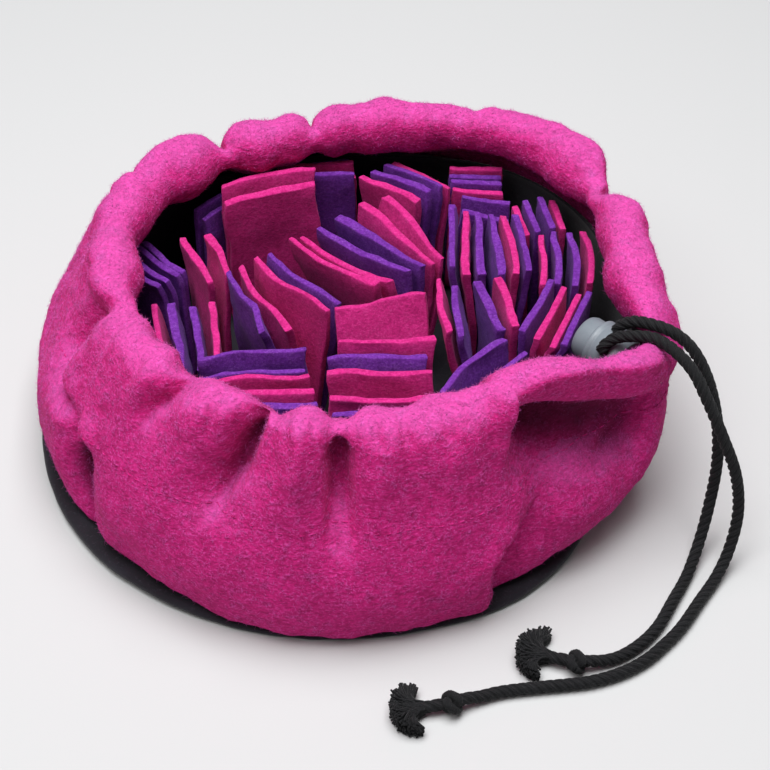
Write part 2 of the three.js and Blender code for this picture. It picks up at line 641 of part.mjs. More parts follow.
// A frayed cord end: a neck past the knot whose yarns splay into a brush that lies on the floor
const TASSEL_NECK = { length: 9, drop: 1.2, sides: 8, steps: 2 };
const TASSEL_ROOT = { back: 1.4, drop: 1 };
const TASSEL_ROWS = named(["count", "spread", "tipHeight", "reach"], [
  [9, 82, 0.6, 11.2],
  [8, 74, 5, 10.6],
  [6, 55, 9.6, 8],
]);
const YARN_RADIUS = { root: 1.0, tip: 0.55 };
const YARN_SIDES = 4;
const YARN_UNEVENNESS = 1.3;
const DRAWS_PER_ROW = 31;
function tassel(name, place, heading) {
  const neckCurve = new THREE.LineCurve3(
    new THREE.Vector3(0, 0, 0), new THREE.Vector3(TASSEL_NECK.length, 0, -TASSEL_NECK.drop));
  const root = new THREE.Vector3(TASSEL_NECK.length - TASSEL_ROOT.back, 0, -TASSEL_ROOT.drop);
  const rootHeight = place.z + root.z;
  const strands = TASSEL_ROWS.flatMap((row, rowIndex) => Array.from({ length: row.count }, (_, i) => {
    const seed = DRAWS_PER_ROW * rowIndex + i;
    const aside = radians(lerp(-row.spread, row.spread, i / (row.count - 1)));
    const reach = row.reach + YARN_UNEVENNESS * jitter(seed);
    const tip = new THREE.Vector3(
      reach * Math.cos(aside), reach * Math.sin(aside), row.tipHeight - rootHeight);
    const line = new THREE.LineCurve3(root, root.clone().add(tip));
    return tube(line, 1, YARN_SIDES, (angle, along) => lerp(YARN_RADIUS.root, YARN_RADIUS.tip, along));
  }));
  const neck = tube(neckCurve, TASSEL_NECK.steps, TASSEL_NECK.sides, () => CORD_DIAMETER / 2);
  const mesh = part(name, joined([neck, ...strands]), BLACK_CORD);
  mesh.position.copy(place);
  mesh.rotation.z = radians(heading);
  return mesh;
}

// Each cord's far end: its knot and the tassel past it
const CORD_ENDS = [
  { label: "rear", route: CORD_REAR_ROUTE, knot: new THREE.Vector3(85, -131.9, KNOT_RADIUS), heading: 163 },
  { label: "front", route: CORD_FRONT_ROUTE, knot: new THREE.Vector3(41, -149, KNOT_RADIUS), heading: 188 },
];
function cordEnds() {
  const group = new THREE.Group();
  for (const end of CORD_ENDS) {
    const past = polar(KNOT_HALF_LENGTH + FIT_GAP, end.heading, 0).add(end.knot);
    group.add(cord(`cord_${end.label}`, end.route));
    group.add(knot(`knot_${end.label}`, end.knot, end.heading));
    group.add(tassel(`tassel_${end.label}`, past, end.heading));
  }
  return group;
}

const bowl = new THREE.Group();
bowl.add(baseDisc(), wall(), lining(), ...FELT_STACKS.map(feltStack), cordLock(), cordEnds());

export default bowl;
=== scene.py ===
"""Looks of a drawstring snuffle bowl: a gathered ring of boiled wool on a black cloth base, folded felt
strips that stand inside it, and a cord lock on two twisted cord ends with knots and frayed tips.

Metres, +Z up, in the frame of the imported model, whose origin is the centre of the base on the floor.
Azimuths are degrees around +Z from +X: 0 is the right, 90 the back, 180 the left, 270 the front.
"""

import json
import logging
import math
from dataclasses import dataclass
from enum import Enum
from typing import Any, Callable, Sequence

import bmesh
import bpy
import numpy as np
from mathutils import Matrix, Vector, noise
from mathutils.bvhtree import BVHTree


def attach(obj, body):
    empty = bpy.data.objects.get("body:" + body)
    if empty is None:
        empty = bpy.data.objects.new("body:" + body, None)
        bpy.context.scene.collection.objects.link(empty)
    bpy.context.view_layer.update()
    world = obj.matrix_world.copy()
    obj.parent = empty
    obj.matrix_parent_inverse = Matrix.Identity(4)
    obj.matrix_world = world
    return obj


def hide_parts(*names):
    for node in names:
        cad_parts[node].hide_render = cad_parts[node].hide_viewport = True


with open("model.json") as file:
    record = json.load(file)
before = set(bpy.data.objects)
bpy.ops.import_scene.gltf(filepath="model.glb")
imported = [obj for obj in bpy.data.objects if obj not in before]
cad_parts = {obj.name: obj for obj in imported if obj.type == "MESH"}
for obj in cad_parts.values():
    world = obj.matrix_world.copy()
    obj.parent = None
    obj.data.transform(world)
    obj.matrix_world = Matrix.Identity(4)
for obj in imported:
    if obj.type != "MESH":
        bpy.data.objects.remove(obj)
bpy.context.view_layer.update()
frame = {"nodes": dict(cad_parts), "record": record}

MM = 0.001
PAINTED_FOLD_SHADE = "painted_fold_shade"
PAINTED_TOP_LIGHT = "painted_top_light"
NOISE_SEED = 5
Array = np.ndarray
Colour = tuple[float, float, float]
Material = bpy.types.Material
Mesh = bpy.types.Mesh
Piece = bpy.types.Object
Row = Sequence[float]
Shape = bmesh.types.BMesh
log = logging.getLogger("snuffle_bowl")


class Body(Enum):
    """The bodies that the pieces ride on."""

    BOWL = "bowl"
    BUTTON = "button"


class Hold(Enum):
    """How a sheet of cloth is held."""

    GATHERED = "gathered"
    FOLDED = "folded"
    LAID = "laid"


class CordSide(Enum):
    """The two free ends of the drawcord."""

    REAR = "rear"
    FRONT = "front"


class Signal:
    """A socket that takes part in Python arithmetic: each operation adds one Math node."""

    def __init__(self, shader: "Shader", socket: bpy.types.NodeSocket) -> None:
        """Wraps an output socket of a shader's node."""
        self.shader = shader
        self.socket = socket

    def _math(self, operation: str, *values: "Signal | float") -> "Signal":
        """A Math node on the given values."""
        return self.shader.node("ShaderNodeMath", {"operation": operation}, dict(enumerate(values)))

    def __add__(self, other: "Signal | float") -> "Signal":
        """The sum."""
        return self._math("ADD", self, other)

    __radd__ = __add__

    def __sub__(self, other: "Signal | float") -> "Signal":
        """The difference."""
        return self._math("SUBTRACT", self, other)

    def __rsub__(self, other: "Signal | float") -> "Signal":
        """The difference from a number."""
        return self._math("SUBTRACT", other, self)

    def __mul__(self, other: "Signal | float") -> "Signal":
        """The product."""
        return self._math("MULTIPLY", self, other)

    __rmul__ = __mul__

    def between(self, low: float, high: float) -> "Signal":
        """A smooth step from 0 at low to 1 at high."""
        settings = {"interpolation_type": "SMOOTHSTEP"}
        return self.shader.node("ShaderNodeMapRange", settings, {0: self, 1: low, 2: high})


class Shader:
    """A material with one Principled shader, whose nodes are added by one method."""

    def __init__(self, name: str) -> None:
        """Starts an empty node tree.

        Args:
            name: The material's name.
        """
        self.material = bpy.data.materials.new(name)
        self.material.use_nodes = True
        self.tree = self.material.node_tree
        self.tree.nodes.clear()
        self.end = self.tree.nodes.new("ShaderNodeOutputMaterial")

    def node(self, kind: str, settings: dict[str, Any], inputs: dict[Any, Any], output: int = 0) -> Signal:
        """Adds a node.

        Args:
            kind: The node's type name.
            settings: The node's own attributes, set before its sockets.
            inputs: Numbers, colours or signals by the socket's name or number.
            output: The number of the output that is wanted.

        Returns:
            That output.
        """
        made = self.tree.nodes.new(kind)
        for key, value in settings.items():
            setattr(made, key, value)
        for key, value in inputs.items():
            if isinstance(value, Signal):
                self.tree.links.new(value.socket, made.inputs[key])
            else:
                made.inputs[key].default_value = value
        return Signal(self, made.outputs[output])

    def place(self, stretch: Row = (1, 1, 1)) -> Signal:
        """Object coordinates, each axis multiplied by its stretch."""
        coordinates = self.node("ShaderNodeTexCoord", {}, {}, 3)
        return self.node("ShaderNodeMapping", {}, {"Vector": coordinates, "Scale": tuple(stretch)})

    def speckle(self, place: Signal, size: float, detail: float = 2.0, roughness: float = 0.55) -> Signal:
        """Noise whose lumps are about one size, in metres."""
        inputs = {"Vector": place, "Scale": 1 / size, "Detail": detail, "Roughness": roughness}
        return self.node("ShaderNodeTexNoise", {"noise_dimensions": "3D"}, inputs)

    def mix(self, factor: "Signal | float", first: Any, second: Any) -> Signal:
        """Two colours mixed by a factor."""
        inputs = {0: factor, 6: rgba(first), 7: rgba(second)}
        return self.node("ShaderNodeMix", {"data_type": "RGBA"}, inputs, 2)

    def bump(self, height: Signal, distance: float) -> Signal:
        """A normal bent by a height."""
        return self.node("ShaderNodeBump", {}, {"Distance": distance, "Height": height})

    def carried(self, attribute: str) -> Signal:
        """A value that the piece's points carry."""
        return self.node("ShaderNodeAttribute", {"attribute_name": attribute}, {}, 2)

    def principled(self, inputs: dict[str, Any]) -> Material:
        """Ends the material in a Principled shader with the given sockets.

        Args:
            inputs: Numbers, colours or signals by the socket's name.

        Returns:
            The material.
        """
        surface = self.node("ShaderNodeBsdfPrincipled", {}, inputs)
        self.tree.links.new(surface.socket, self.end.inputs["Surface"])
        return self.material


def rgba(colour: Any) -> Any:
    """A colour with its alpha, or a signal as it is."""
    return colour if isinstance(colour, Signal) else (*colour, 1.0)


@dataclass(frozen=True)
class WoolFinish:
    """Matted wool fibres: dark and light flecks in a body colour, over cloudy patches, with a soft nap.

    A finish with a shade above zero gets painted shade in deep creases, and painted light on upper sides.
    """

    name: str
    dark: Colour
    body: Colour
    light: Colour
    sheen_tint: Colour
    fleck: float = 1.6 * MM
    streak: float = 2.2
    mottle: float = 5 * MM
    patch: float = 18 * MM
    relief: float = 0.8 * MM
    sheen: float = 0.35
    contrast: float = 0.9
    veins: float = 0.45
    shade: float = 0.0
    # The colour of the painted light on upper sides.
    top_light_paint: Colour = (0.62, 0.14, 0.52)

    def material(self) -> Material:
        """Builds the material.

        Returns:
            The material.
        """
        shader = Shader(self.name)
        even = shader.place()
        lying = shader.place((1, 1, self.streak))
        fleck = shader.speckle(lying, self.fleck, 4.0, 0.65)
        fibre = shader.speckle(even, self.fleck * 0.45, 3.0, 0.7)
        mottle = shader.speckle(even, self.mottle, 4.0, 0.65)
        patch = shader.speckle(even, self.patch, 2.0)
        deep = (1 - (fleck * 0.6 + mottle * 0.4).between(0.36, 0.56)) * self.contrast
        bright = (fibre * 0.5 + fleck * 0.25 + mottle * 0.25).between(0.48, 0.66) * self.contrast
        cloud = patch.between(0.3, 0.7)
        tone = shader.mix(cloud * 0.2, self.body, self.dark)
        tone = shader.mix(mottle.between(0.48, 0.72) * self.veins, tone, self.dark)
        tone = shader.mix(deep * 0.6, tone, self.dark)
        tone = shader.mix(bright * 0.6, tone, self.light)
        if self.shade:
            # Painted shade in deep creases, towards a near-black tone of the dark colour.
            fold_shade_tone = tuple(0.12 * level for level in self.dark)
            # Painted light on upper sides, towards a pale lilac tone.
            tone = shader.mix(shader.carried(PAINTED_TOP_LIGHT) * 0.34, tone, self.top_light_paint)
            tone = shader.mix(shader.carried(PAINTED_FOLD_SHADE) * self.shade, tone, fold_shade_tone)
        height = fleck * 0.45 + fibre * 0.25 + mottle * 0.8
        return shader.principled({
            "Base Color": tone,
            "Roughness": 1 - bright * 0.12,
            "Normal": shader.bump(height, self.relief),
            "Specular IOR Level": 0.15,
            "Sheen Weight": self.sheen,
            "Sheen Roughness": 0.45,
            "Sheen Tint": rgba(self.sheen_tint),
        })


@dataclass(frozen=True)
class ClothFinish:
    """Plain dark cloth with a fine twill and dusty lint."""

    name: str
    body: Colour
    lint: Colour
    thread: float = 0.7 * MM
    relief: float = 0.12 * MM

    def material(self) -> Material:
        """Builds the material.

        Returns:
            The material.
        """
        shader = Shader(self.name)
        even = shader.place()
        lines = {"Vector": even, "Scale": 1 / (self.thread * 20), "Distortion": 1.5, "Detail": 2.0}
        twill = shader.node("ShaderNodeTexWave", {"bands_direction": "DIAGONAL"}, lines, 1)
        lint = shader.speckle(even, 1.6 * MM, 5.0, 0.75).between(0.52, 0.75)
        cloud = shader.speckle(even, 22 * MM).between(0.35, 0.7)
        tone = shader.mix(lint * 0.6, self.body, self.lint)
        tone = shader.mix(cloud * 0.35, tone, self.lint)
        return shader.principled({
            "Base Color": tone,
            "Roughness": 0.92 - lint * 0.12,
            "Normal": shader.bump(twill * 0.5 + lint * 0.5, self.relief),
            "Specular IOR Level": 0.3,
            "Sheen Weight": 0.12,
            "Sheen Roughness": 0.5,
        })


@dataclass(frozen=True)
class CordFinish:
    """Dull black yarn with paler lit fibres."""

    name: str
    body: Colour
    fibre: Colour
    roughness: float = 0.72

    def material(self) -> Material:
        """Builds the material.

        Returns:
            The material.
        """
        shader = Shader(self.name)
        even = shader.place()
        fibre = shader.speckle(even, 0.5 * MM, 4.0, 0.7)
        cloud = shader.speckle(even, 7 * MM).between(0.35, 0.7)
        tone = shader.mix(fibre.between(0.45, 0.7) * 0.7, self.body, self.fibre)
        tone = shader.mix(cloud * 0.4, tone, self.body)
        return shader.principled({
            "Base Color": tone,
            "Roughness": self.roughness + fibre * 0.15,
            "Normal": shader.bump(fibre, 0.2 * MM),
            "Specular IOR Level": 0.3,
            "Sheen Weight": 0.08,
            "Sheen Roughness": 0.4,
        })


@dataclass(frozen=True)
class PlasticFinish:
    """Satin moulded plastic with faint flow marks and fine scuffs."""

    name: str
    body: Colour
    scuff: Colour
    roughness: float = 0.38

    def material(self) -> Material:
        """Builds the material.

        Returns:
            The material.
        """
        shader = Shader(self.name)
        even = shader.place()
        flow = shader.speckle(even, 9 * MM, 3.0)
        grain = shader.speckle(even, 0.35 * MM, 2.0)
        scuff = shader.speckle(shader.place((1, 6, 1)), 1.8 * MM, 4.0, 0.7).between(0.58, 0.72)
        tone = shader.mix(flow.between(0.35, 0.7) * 0.35 + scuff * 0.3, self.body, self.scuff)
        return shader.principled({
            "Base Color": tone,
            "Roughness": self.roughness + scuff * 0.25 + grain * 0.08,
            "Normal": shader.bump(grain * 0.7 + scuff * 0.3, 0.05 * MM),
            "Specular IOR Level": 0.5,
        })


@dataclass(frozen=True)
class FloorFinish:
    """A plain pale floor."""

    name: str
    body: Colour

    def material(self) -> Material:
        """Builds the material.

        Returns:
            The material.
        """
        shader = Shader(self.name)
        cloud = shader.speckle(shader.place(), 0.4)
        tone = shader.mix(cloud * 0.04, self.body, tuple(0.97 * level for level in self.body))
        return shader.principled({"Base Color": tone, "Roughness": 0.85, "Specular IOR Level": 0.2})


# The wall's wool, with painted shade in deep creases and painted light on upper sides.
PINK_WOOL = WoolFinish(
    "pink_wool", (0.20, 0.005, 0.055), (0.64, 0.018, 0.208), (0.92, 0.11, 0.54), (1.0, 0.45, 0.85),
    fleck=2.0 * MM, relief=1.15 * MM, sheen=0.04, veins=0.75, shade=0.85)
PINK_NAP = WoolFinish(
    "pink_wool_nap", (0.44, 0.035, 0.23), (0.74, 0.12, 0.50), (0.90, 0.26, 0.70), (1.0, 0.5, 0.9),
    sheen=0.1)
FELT_GRAIN = {
    "fleck": 1.2 * MM, "streak": 1.4, "mottle": 3.5 * MM, "patch": 11 * MM, "relief": 0.35 * MM,
    "contrast": 0.8}
PINK_FELT = WoolFinish(
    "pink_felt", (0.21, 0.005, 0.064), (0.57, 0.020, 0.200), (0.82, 0.09, 0.38), (1.0, 0.4, 0.75),
    sheen=0.08, **FELT_GRAIN)
PURPLE_FELT = WoolFinish(
    "purple_felt", (0.045, 0.006, 0.085), (0.150, 0.024, 0.300), (0.34, 0.11, 0.56), (0.75, 0.55, 1.0),
    sheen=0.06, **FELT_GRAIN)
BLACK_CLOTH = ClothFinish("black_cloth", (0.013, 0.011, 0.016), (0.038, 0.035, 0.050))
BLACK_CORD = CordFinish("black_cord", (0.003, 0.003, 0.004), (0.014, 0.0145, 0.016))
GREY_PLASTIC = PlasticFinish("grey_plastic", (0.155, 0.18, 0.205), (0.23, 0.255, 0.28))
PALE_FLOOR = FloorFinish("pale_floor", (0.52, 0.52, 0.52))
FELT_FINISHES = {"pink_felt": PINK_FELT, "purple_felt": PURPLE_FELT}

_materials: dict[str, Material] = {}


def material_of(finish: Any) -> Material:
    """The finish's material, made once.

    Args:
        finish: What a surface is made of.

    Returns:
        The material.
    """
    if finish.name not in _materials:
        _materials[finish.name] = finish.material()
    return _materials[finish.name]


def azimuths(places: Array) -> Array:
    """The azimuths of points, in degrees."""
    return np.degrees(np.arctan2(places[:, 1], places[:, 0]))


def radii(places: Array) -> Array:
    """How far points are from the bowl's axis, as a column."""
    return np.linalg.norm(places[:, :2], axis=1, keepdims=True)


def outward(places: Array) -> Array:
    """The directions level and away from the bowl's axis at points."""
    return places * (1, 1, 0) / np.maximum(radii(places), MM)


def unit(vectors: Array) -> Array:
    """Vectors scaled to a length of one."""
    return vectors / np.linalg.norm(vectors, axis=1, keepdims=True)


def travels(path: Array) -> Array:
    """How far along a path each of its points is."""
    return np.concatenate([[0], np.cumsum(np.linalg.norm(np.diff(path, axis=0), axis=1))])


def turn(first: Any, second: Any) -> Any:
    """The signed angle from the second azimuth to the first, in degrees from -180 to 180."""
    return (first - second + 180) % 360 - 180


def swells(places: Array, rows: Sequence[Row]) -> Array:
    """Soft swells round the bowl at points.

    Args:
        places: The points.
        rows: Each swell's azimuth, its height in millimetres and its half width in degrees.

    Returns:
        The heights in metres, as a column.
    """
    azimuth = azimuths(places)[:, None]
    return sum(far * MM * np.exp(-(turn(azimuth, middle) / width) ** 2) for middle, far, width in rows)


def lumps(places: Array, size: float) -> Array:
    """Smooth noise from about -1 to 1 whose lumps are about one size, as a column."""
    return np.array([[noise.noise(place)] for place in (places / size).tolist()])


def wander(places: Array, size: float) -> Array:
    """A smooth random vector field whose swirls are about one size."""
    return np.array([noise.noise_vector(place) for place in (places / size).tolist()])


def smooth_step(values: Array, low: float, high: float) -> Array:
    """A smooth step from 0 at low to 1 at high."""
    share = np.clip((values - low) / (high - low), 0, 1)
    return share * share * (3 - 2 * share)


def in_metres(rows: Sequence[Row]) -> list[tuple[float, ...]]:
    """Rows of millimetres as metres."""
    return [tuple(value * MM for value in row) for row in rows]


def linked(name: str, data: Any) -> Piece:
    """A new object in the scene that holds the data.

    Args:
        name: The object's name.
        data: Its mesh, curve, camera or light.

    Returns:
        The object.
    """
    made = bpy.data.objects.new(name, data)
    bpy.context.scene.collection.objects.link(made)
    return made


def cad_copy(node: str) -> Shape:
    """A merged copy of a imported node's mesh, with its triangles joined into four-sided faces.

    Args:
        node: The node's name.

    Returns:
        The copy, which the caller may change.
    """
    shape = bmesh.new()
    shape.from_mesh(frame["nodes"][node].data)
    bmesh.ops.remove_doubles(shape, verts=shape.verts, dist=0.005 * MM)
    bmesh.ops.join_triangles(
        shape, faces=shape.faces, angle_face_threshold=math.radians(50),
        angle_shape_threshold=math.radians(60))
    return shape


def rounded(shape: Shape, levels: int) -> Shape:
    """The shape after Catmull-Clark subdivision, with fresh normals. The given one is freed.

    Args:
        shape: The mesh to round.
        levels: How many times it is subdivided.

    Returns:
        The rounded mesh.
    """
    mesh = bpy.data.meshes.new("rounding")
    shape.to_mesh(mesh)
    shape.free()
    holder = linked("rounding", mesh)
    modifier = holder.modifiers.new("rounding", "SUBSURF")
    modifier.levels = levels
    modifier.render_levels = levels
    result = bmesh.new()
    result.from_object(holder, bpy.context.evaluated_depsgraph_get())
    bpy.data.objects.remove(holder)
    bpy.data.meshes.remove(mesh)
    result.normal_update()
    return result


def softened(shape: Shape, sharpness: float, offset: float, segments: int) -> None:
    """Bevels the sharp edges of a mesh.

    Args:
        shape: The mesh.
        sharpness: The angle between an edge's faces, in degrees, above which it is bevelled.
        offset: How far from the edge the bevel starts.
        segments: How many faces each bevel has across it.
    """
    sharp = [edge for edge in shape.edges if edge.calc_face_angle(0) > math.radians(sharpness)]
    bmesh.ops.bevel(
        shape, geom=sharp, offset=offset, offset_type="OFFSET", affect="EDGES", segments=segments,
        profile=0.5, material=-1, clamp_overlap=True)


def vertex_rows(shape: Shape) -> tuple[Array, Array]:
    """The places and the normals of a mesh's vertices."""
    return (np.array([vertex.co for vertex in shape.verts]),
            np.array([vertex.normal for vertex in shape.verts]))


def displaced(shape: Shape, move: Callable[[Array, Array], Array]) -> None:
    """Moves the vertices by what a function of all their places and normals says.

    Args:
        shape: The mesh, which is changed.
        move: The function, which gives one step for each vertex.
    """
    shape.normal_update()
    for vertex, step in zip(shape.verts, move(*vertex_rows(shape))):
        vertex.co += Vector(step)
    shape.normal_update()


def joined(first: Mesh, second: Mesh) -> Mesh:
    """The first mesh with the second one added to it, which is removed.

    Args:
        first: The mesh that is added to.
        second: The mesh that is added.

    Returns:
        The first mesh.
    """
    shape = bmesh.new()
    shape.from_mesh(first)
    shape.from_mesh(second)
    shape.to_mesh(first)
    shape.free()
    bpy.data.meshes.remove(second)
    return first


def faced_outwards(mesh: Mesh, merge: float = 0.0) -> None:
    """Turns a mesh's faces outwards, once points closer than a distance are merged.

    Args:
        mesh: The mesh, which is changed.
        merge: That distance, or zero to merge none.
    """
    shape = bmesh.new()
    shape.from_mesh(mesh)
    if merge:
        bmesh.ops.remove_doubles(shape, verts=shape.verts, dist=merge)
    bmesh.ops.recalc_face_normals(shape, faces=shape.faces)
    shape.to_mesh(mesh)
    shape.free()


def dressed(name: str, shape: Shape, finish: Any, body: Body = Body.BOWL) -> Piece:
    """Makes a smooth-shaded piece of a mesh, with its finish. The mesh is freed.

    Args:
        name: The piece's name.
        shape: Its mesh, in place.
        finish: What its surface is made of.
        body: The body that it rides on.

    Returns:
        The piece.
    """
    mesh = bpy.data.meshes.new(name)
    shape.to_mesh(mesh)
    shape.free()
    return dressed_mesh(name, mesh, finish, body)


def dressed_mesh(name: str, mesh: Mesh, finish: Any, body: Body = Body.BOWL) -> Piece:
    """As dressed, for a finished mesh.

    Args:
        name: The piece's name.
        mesh: Its mesh, in place.
        finish: What its surface is made of.
        body: The body that it rides on.

    Returns:
        The piece.
    """
    mesh.shade_smooth()
    mesh.materials.clear()
    mesh.materials.append(material_of(finish))
    piece = linked(name, mesh)
    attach(piece, body.value)
    log.info("%s: %d faces", name, len(mesh.polygons))
    return piece


def tubes(name: str, lines: Sequence[Array], radius: float, sides: int, taper: float = 1.0) -> Mesh:
    """A mesh of closed tubes along lines of points.

    Args:
        name: The mesh's name.
        lines: The points of each tube's middle line.
        radius: The tubes' radius.
        sides: The sides of each tube, an even number from 4.
        taper: The radius at each tube's end as a share of the radius at its start.

    Returns:
        The joined mesh.
    """
    curve = bpy.data.curves.new(name, "CURVE")
    curve.dimensions = "3D"
    curve.bevel_depth = radius
    curve.bevel_resolution = (sides - 4) // 2
    curve.use_fill_caps = True
    for line in lines:
        spline = curve.splines.new("POLY")
        spline.points.add(len(line) - 1)
        spline.points.foreach_set("co", np.column_stack([line, np.ones(len(line))]).ravel())
        spline.points.foreach_set("radius", np.linspace(1, taper, len(line)))
    holder = linked(name, curve)
    drawn = holder.evaluated_get(bpy.context.evaluated_depsgraph_get())
    mesh = bpy.data.meshes.new_from_object(drawn)
    bpy.data.objects.remove(holder)
    bpy.data.curves.remove(curve)
    faced_outwards(mesh, merge=0.0005 * MM)
    mesh.name = name
    return mesh


@dataclass
class Nap:
    """Short loose fibres that stand on a piece of wool, each a thin closed spike."""

    count: int
    length: float
    thickness: float
    lift: float
    seed: int
    # How much thicker the pale fibres are on upper sides, which partly paints light there.
    upper_bias: float = 0.0

    def build(self, name: str, grounds: Sequence[Piece], finish: Any, lowest: float) -> Piece:
        """Strews the fibres over surfaces, thicker on upper sides by a weight, which partly paints light on
        upper sides.

        Args:
            name: The piece's name.
            grounds: The pieces that the fibres stand on.
            finish: What the fibres are made of.
            lowest: The level above which fibres stand.

        Returns:
            The piece of all the fibres.
        """
        corners = np.concatenate([self._triangles(ground) for ground in grounds])
        corners = corners[corners[:, :, 2].min(axis=1) > lowest]
        across = np.cross(corners[:, 1] - corners[:, 0], corners[:, 2] - corners[:, 0])
        area = np.linalg.norm(across, axis=1)
        density = area + self.upper_bias * np.maximum(across[:, 2], 0)
        draw = np.random.default_rng(self.seed)
        chosen = draw.choice(len(area), self.count, p=density / density.sum())
        share = draw.dirichlet((1, 1, 1), self.count)
        foot = np.einsum("fk,fkc->fc", share, corners[chosen])
        normal = across[chosen] / area[chosen, None]
        lean = draw.normal(size=(self.count, 3))
        lean -= np.einsum("fc,fc->f", lean, normal)[:, None] * normal
        lean = unit(lean)
        rise = self.lift * draw.uniform(0.4, 1.6, self.count)[:, None]
        reach = self.length * draw.uniform(0.45, 1.25, self.count)[:, None]
        along = unit(lean + rise * normal)
        side = unit(np.cross(normal, along))
        sunk = foot - 0.5 * self.thickness * normal
        points = np.stack([
            sunk - 0.5 * self.thickness * side,
            sunk + 0.5 * self.thickness * side,
            sunk + self.thickness * normal,
            foot + reach * along,
        ], axis=1)
        sides = np.array([[0, 1, 2], [1, 0, 3], [2, 1, 3], [0, 2, 3]])
        faces = (4 * np.arange(self.count)[:, None, None] + sides[None]).reshape(-1, 3)
        mesh = bpy.data.meshes.new(name)
        mesh.from_pydata(points.reshape(-1, 3), [], faces)
        faced_outwards(mesh)
        return dressed_mesh(name, mesh, finish)

    @staticmethod
    def _triangles(ground: Piece) -> Array:
        """The corner points of a piece's triangles.

        Args:
            ground: The piece.

        Returns:
            The points, three for each triangle.
        """
        mesh = ground.data
        mesh.calc_loop_triangles()
        points = np.empty(3 * len(mesh.vertices), np.float32)
        mesh.vertices.foreach_get("co", points)
        corners = np.empty(3 * len(mesh.loop_triangles), np.int32)
        mesh.loop_triangles.foreach_get("vertices", corners)
        return points.reshape(-1, 3)[corners].reshape(-1, 3, 3).astype(float)


@dataclass
class Studio:
    """The camera at the photograph's angle, a pale floor and soft lights."""

    elevation: float = 44.6
    distance: float = 0.7
    target: Row = (0.0179, 0.0108, 0.0)
    sensor: float = 36.0
    lens: float = 79.5
    floor_size: float = 8.0
    top_light: Row = (0.0, 0.02, 1.3)
    top_size: float = 0.9
    top_power: float = 23.5
    key_light: Row = (-0.4, -0.4, 1.15)
    key_size: float = 0.7
    key_power: float = 5.5
    sky_strength: float = 0.18

    def build(self) -> None:
        """Makes the camera, floor, lights and sky."""
        self._camera()
        self._floor()
        self._light("top", self.top_light, self.top_size, self.top_power, (0.98, 0.99, 1.0))
        self._light("key", self.key_light, self.key_size, self.key_power, (1.0, 0.99, 1.0))
        world = bpy.data.worlds.new("sky")
        world.use_nodes = True
        sky = world.node_tree.nodes["Background"].inputs
        sky["Color"].default_value = (1.0, 1.0, 1.0, 1.0)
        sky["Strength"].default_value = self.sky_strength
        bpy.context.scene.world = world
        bpy.context.scene.view_settings.view_transform = "Standard"

    def _camera(self) -> None:
        """Aims the camera at its target."""
        rise = math.radians(self.elevation)
        back = Vector((0, -math.cos(rise), math.sin(rise)))
        data = bpy.data.cameras.new("camera")
        data.sensor_width = self.sensor
        data.lens = self.lens
        camera = linked("camera", data)
        camera.location = Vector(self.target) + self.distance * back
        camera.rotation_euler = (-back).to_track_quat("-Z", "Y").to_euler()
        bpy.context.scene.camera = camera

    def _floor(self) -> None:
        """Lays the floor."""
        shape = bmesh.new()
        bmesh.ops.create_grid(shape, x_segments=2, y_segments=2, size=self.floor_size / 2)
        mesh = bpy.data.meshes.new("floor")
        shape.to_mesh(mesh)
        shape.free()
        mesh.materials.append(material_of(PALE_FLOOR))
        linked("floor", mesh)

    @staticmethod
    def _light(name: str, place: Row, size: float, power: float, colour: Colour) -> None:
        """Hangs a square light that faces the bowl.

        Args:
            name: The light's name.
            place: Where it hangs.
            size: Its side.
            power: Its power, in watts.
            colour: Its colour.
        """
        data = bpy.data.lights.new(name, "AREA")
        data.size = size
        data.energy = power
        data.color = colour
        light = linked(name, data)
        light.location = place
        light.rotation_euler = (-Vector(place)).to_track_quat("-Z", "Y").to_euler()


@dataclass
class Rope:
    """A tightly laid rope: yarns side by side round a core, in strands with shallow grooves between."""

    radius: float
    strands: int = 4
    yarns: int = 4
    lay: float = 13 * MM
    groove: float = 0.75 * MM
    step: float = 0.9 * MM
    overlap: float = 1.3

    def mesh(self, path: Array) -> Mesh:
        """The rope along a path of evenly spaced points.

        Args:
            path: The points.

        Returns:
            The rope's mesh.
        """
        first, second = self._frames(unit(np.gradient(path, axis=0)))
        travel = travels(path)
        count = self.strands * self.yarns
        yarn_radius = self.radius * self.overlap * math.pi / (count + self.overlap * math.pi)
        lines = []
        for yarn in range(count):
            across = 2 * ((yarn % self.yarns + 0.5) / self.yarns) - 1
            angle = 2 * math.pi * (travel / self.lay + (yarn + 0.5) / count)
            reach = self.radius - yarn_radius - self.groove * across * across
            spoke = np.cos(angle)[:, None] * first + np.sin(angle)[:, None] * second
            lines.append(path + reach * spoke)
        core = tubes("core", [path], self.radius - 1.2 * yarn_radius - self.groove, 10)
        return joined(tubes("rope", lines, yarn_radius, 6), core)

    @staticmethod
    def _frames(tangent: Array) -> tuple[Array, Array]:
        """Two directions across the path at each point, carried along it without twist.

        Args:
            tangent: The path's direction at each point.

        Returns:
            The two directions at each point.
        """
        first = np.empty_like(tangent)
        start = np.cross(tangent[0], (0.0, 0.0, 1.0))
        if np.linalg.norm(start) < 0.1:
            start = np.cross(tangent[0], (1.0, 0.0, 0.0))
        for i, along in enumerate(tangent):
            start = start - np.dot(start, along) * along
            start = start / np.linalg.norm(start)
            first[i] = start
        return first, np.cross(tangent, first)


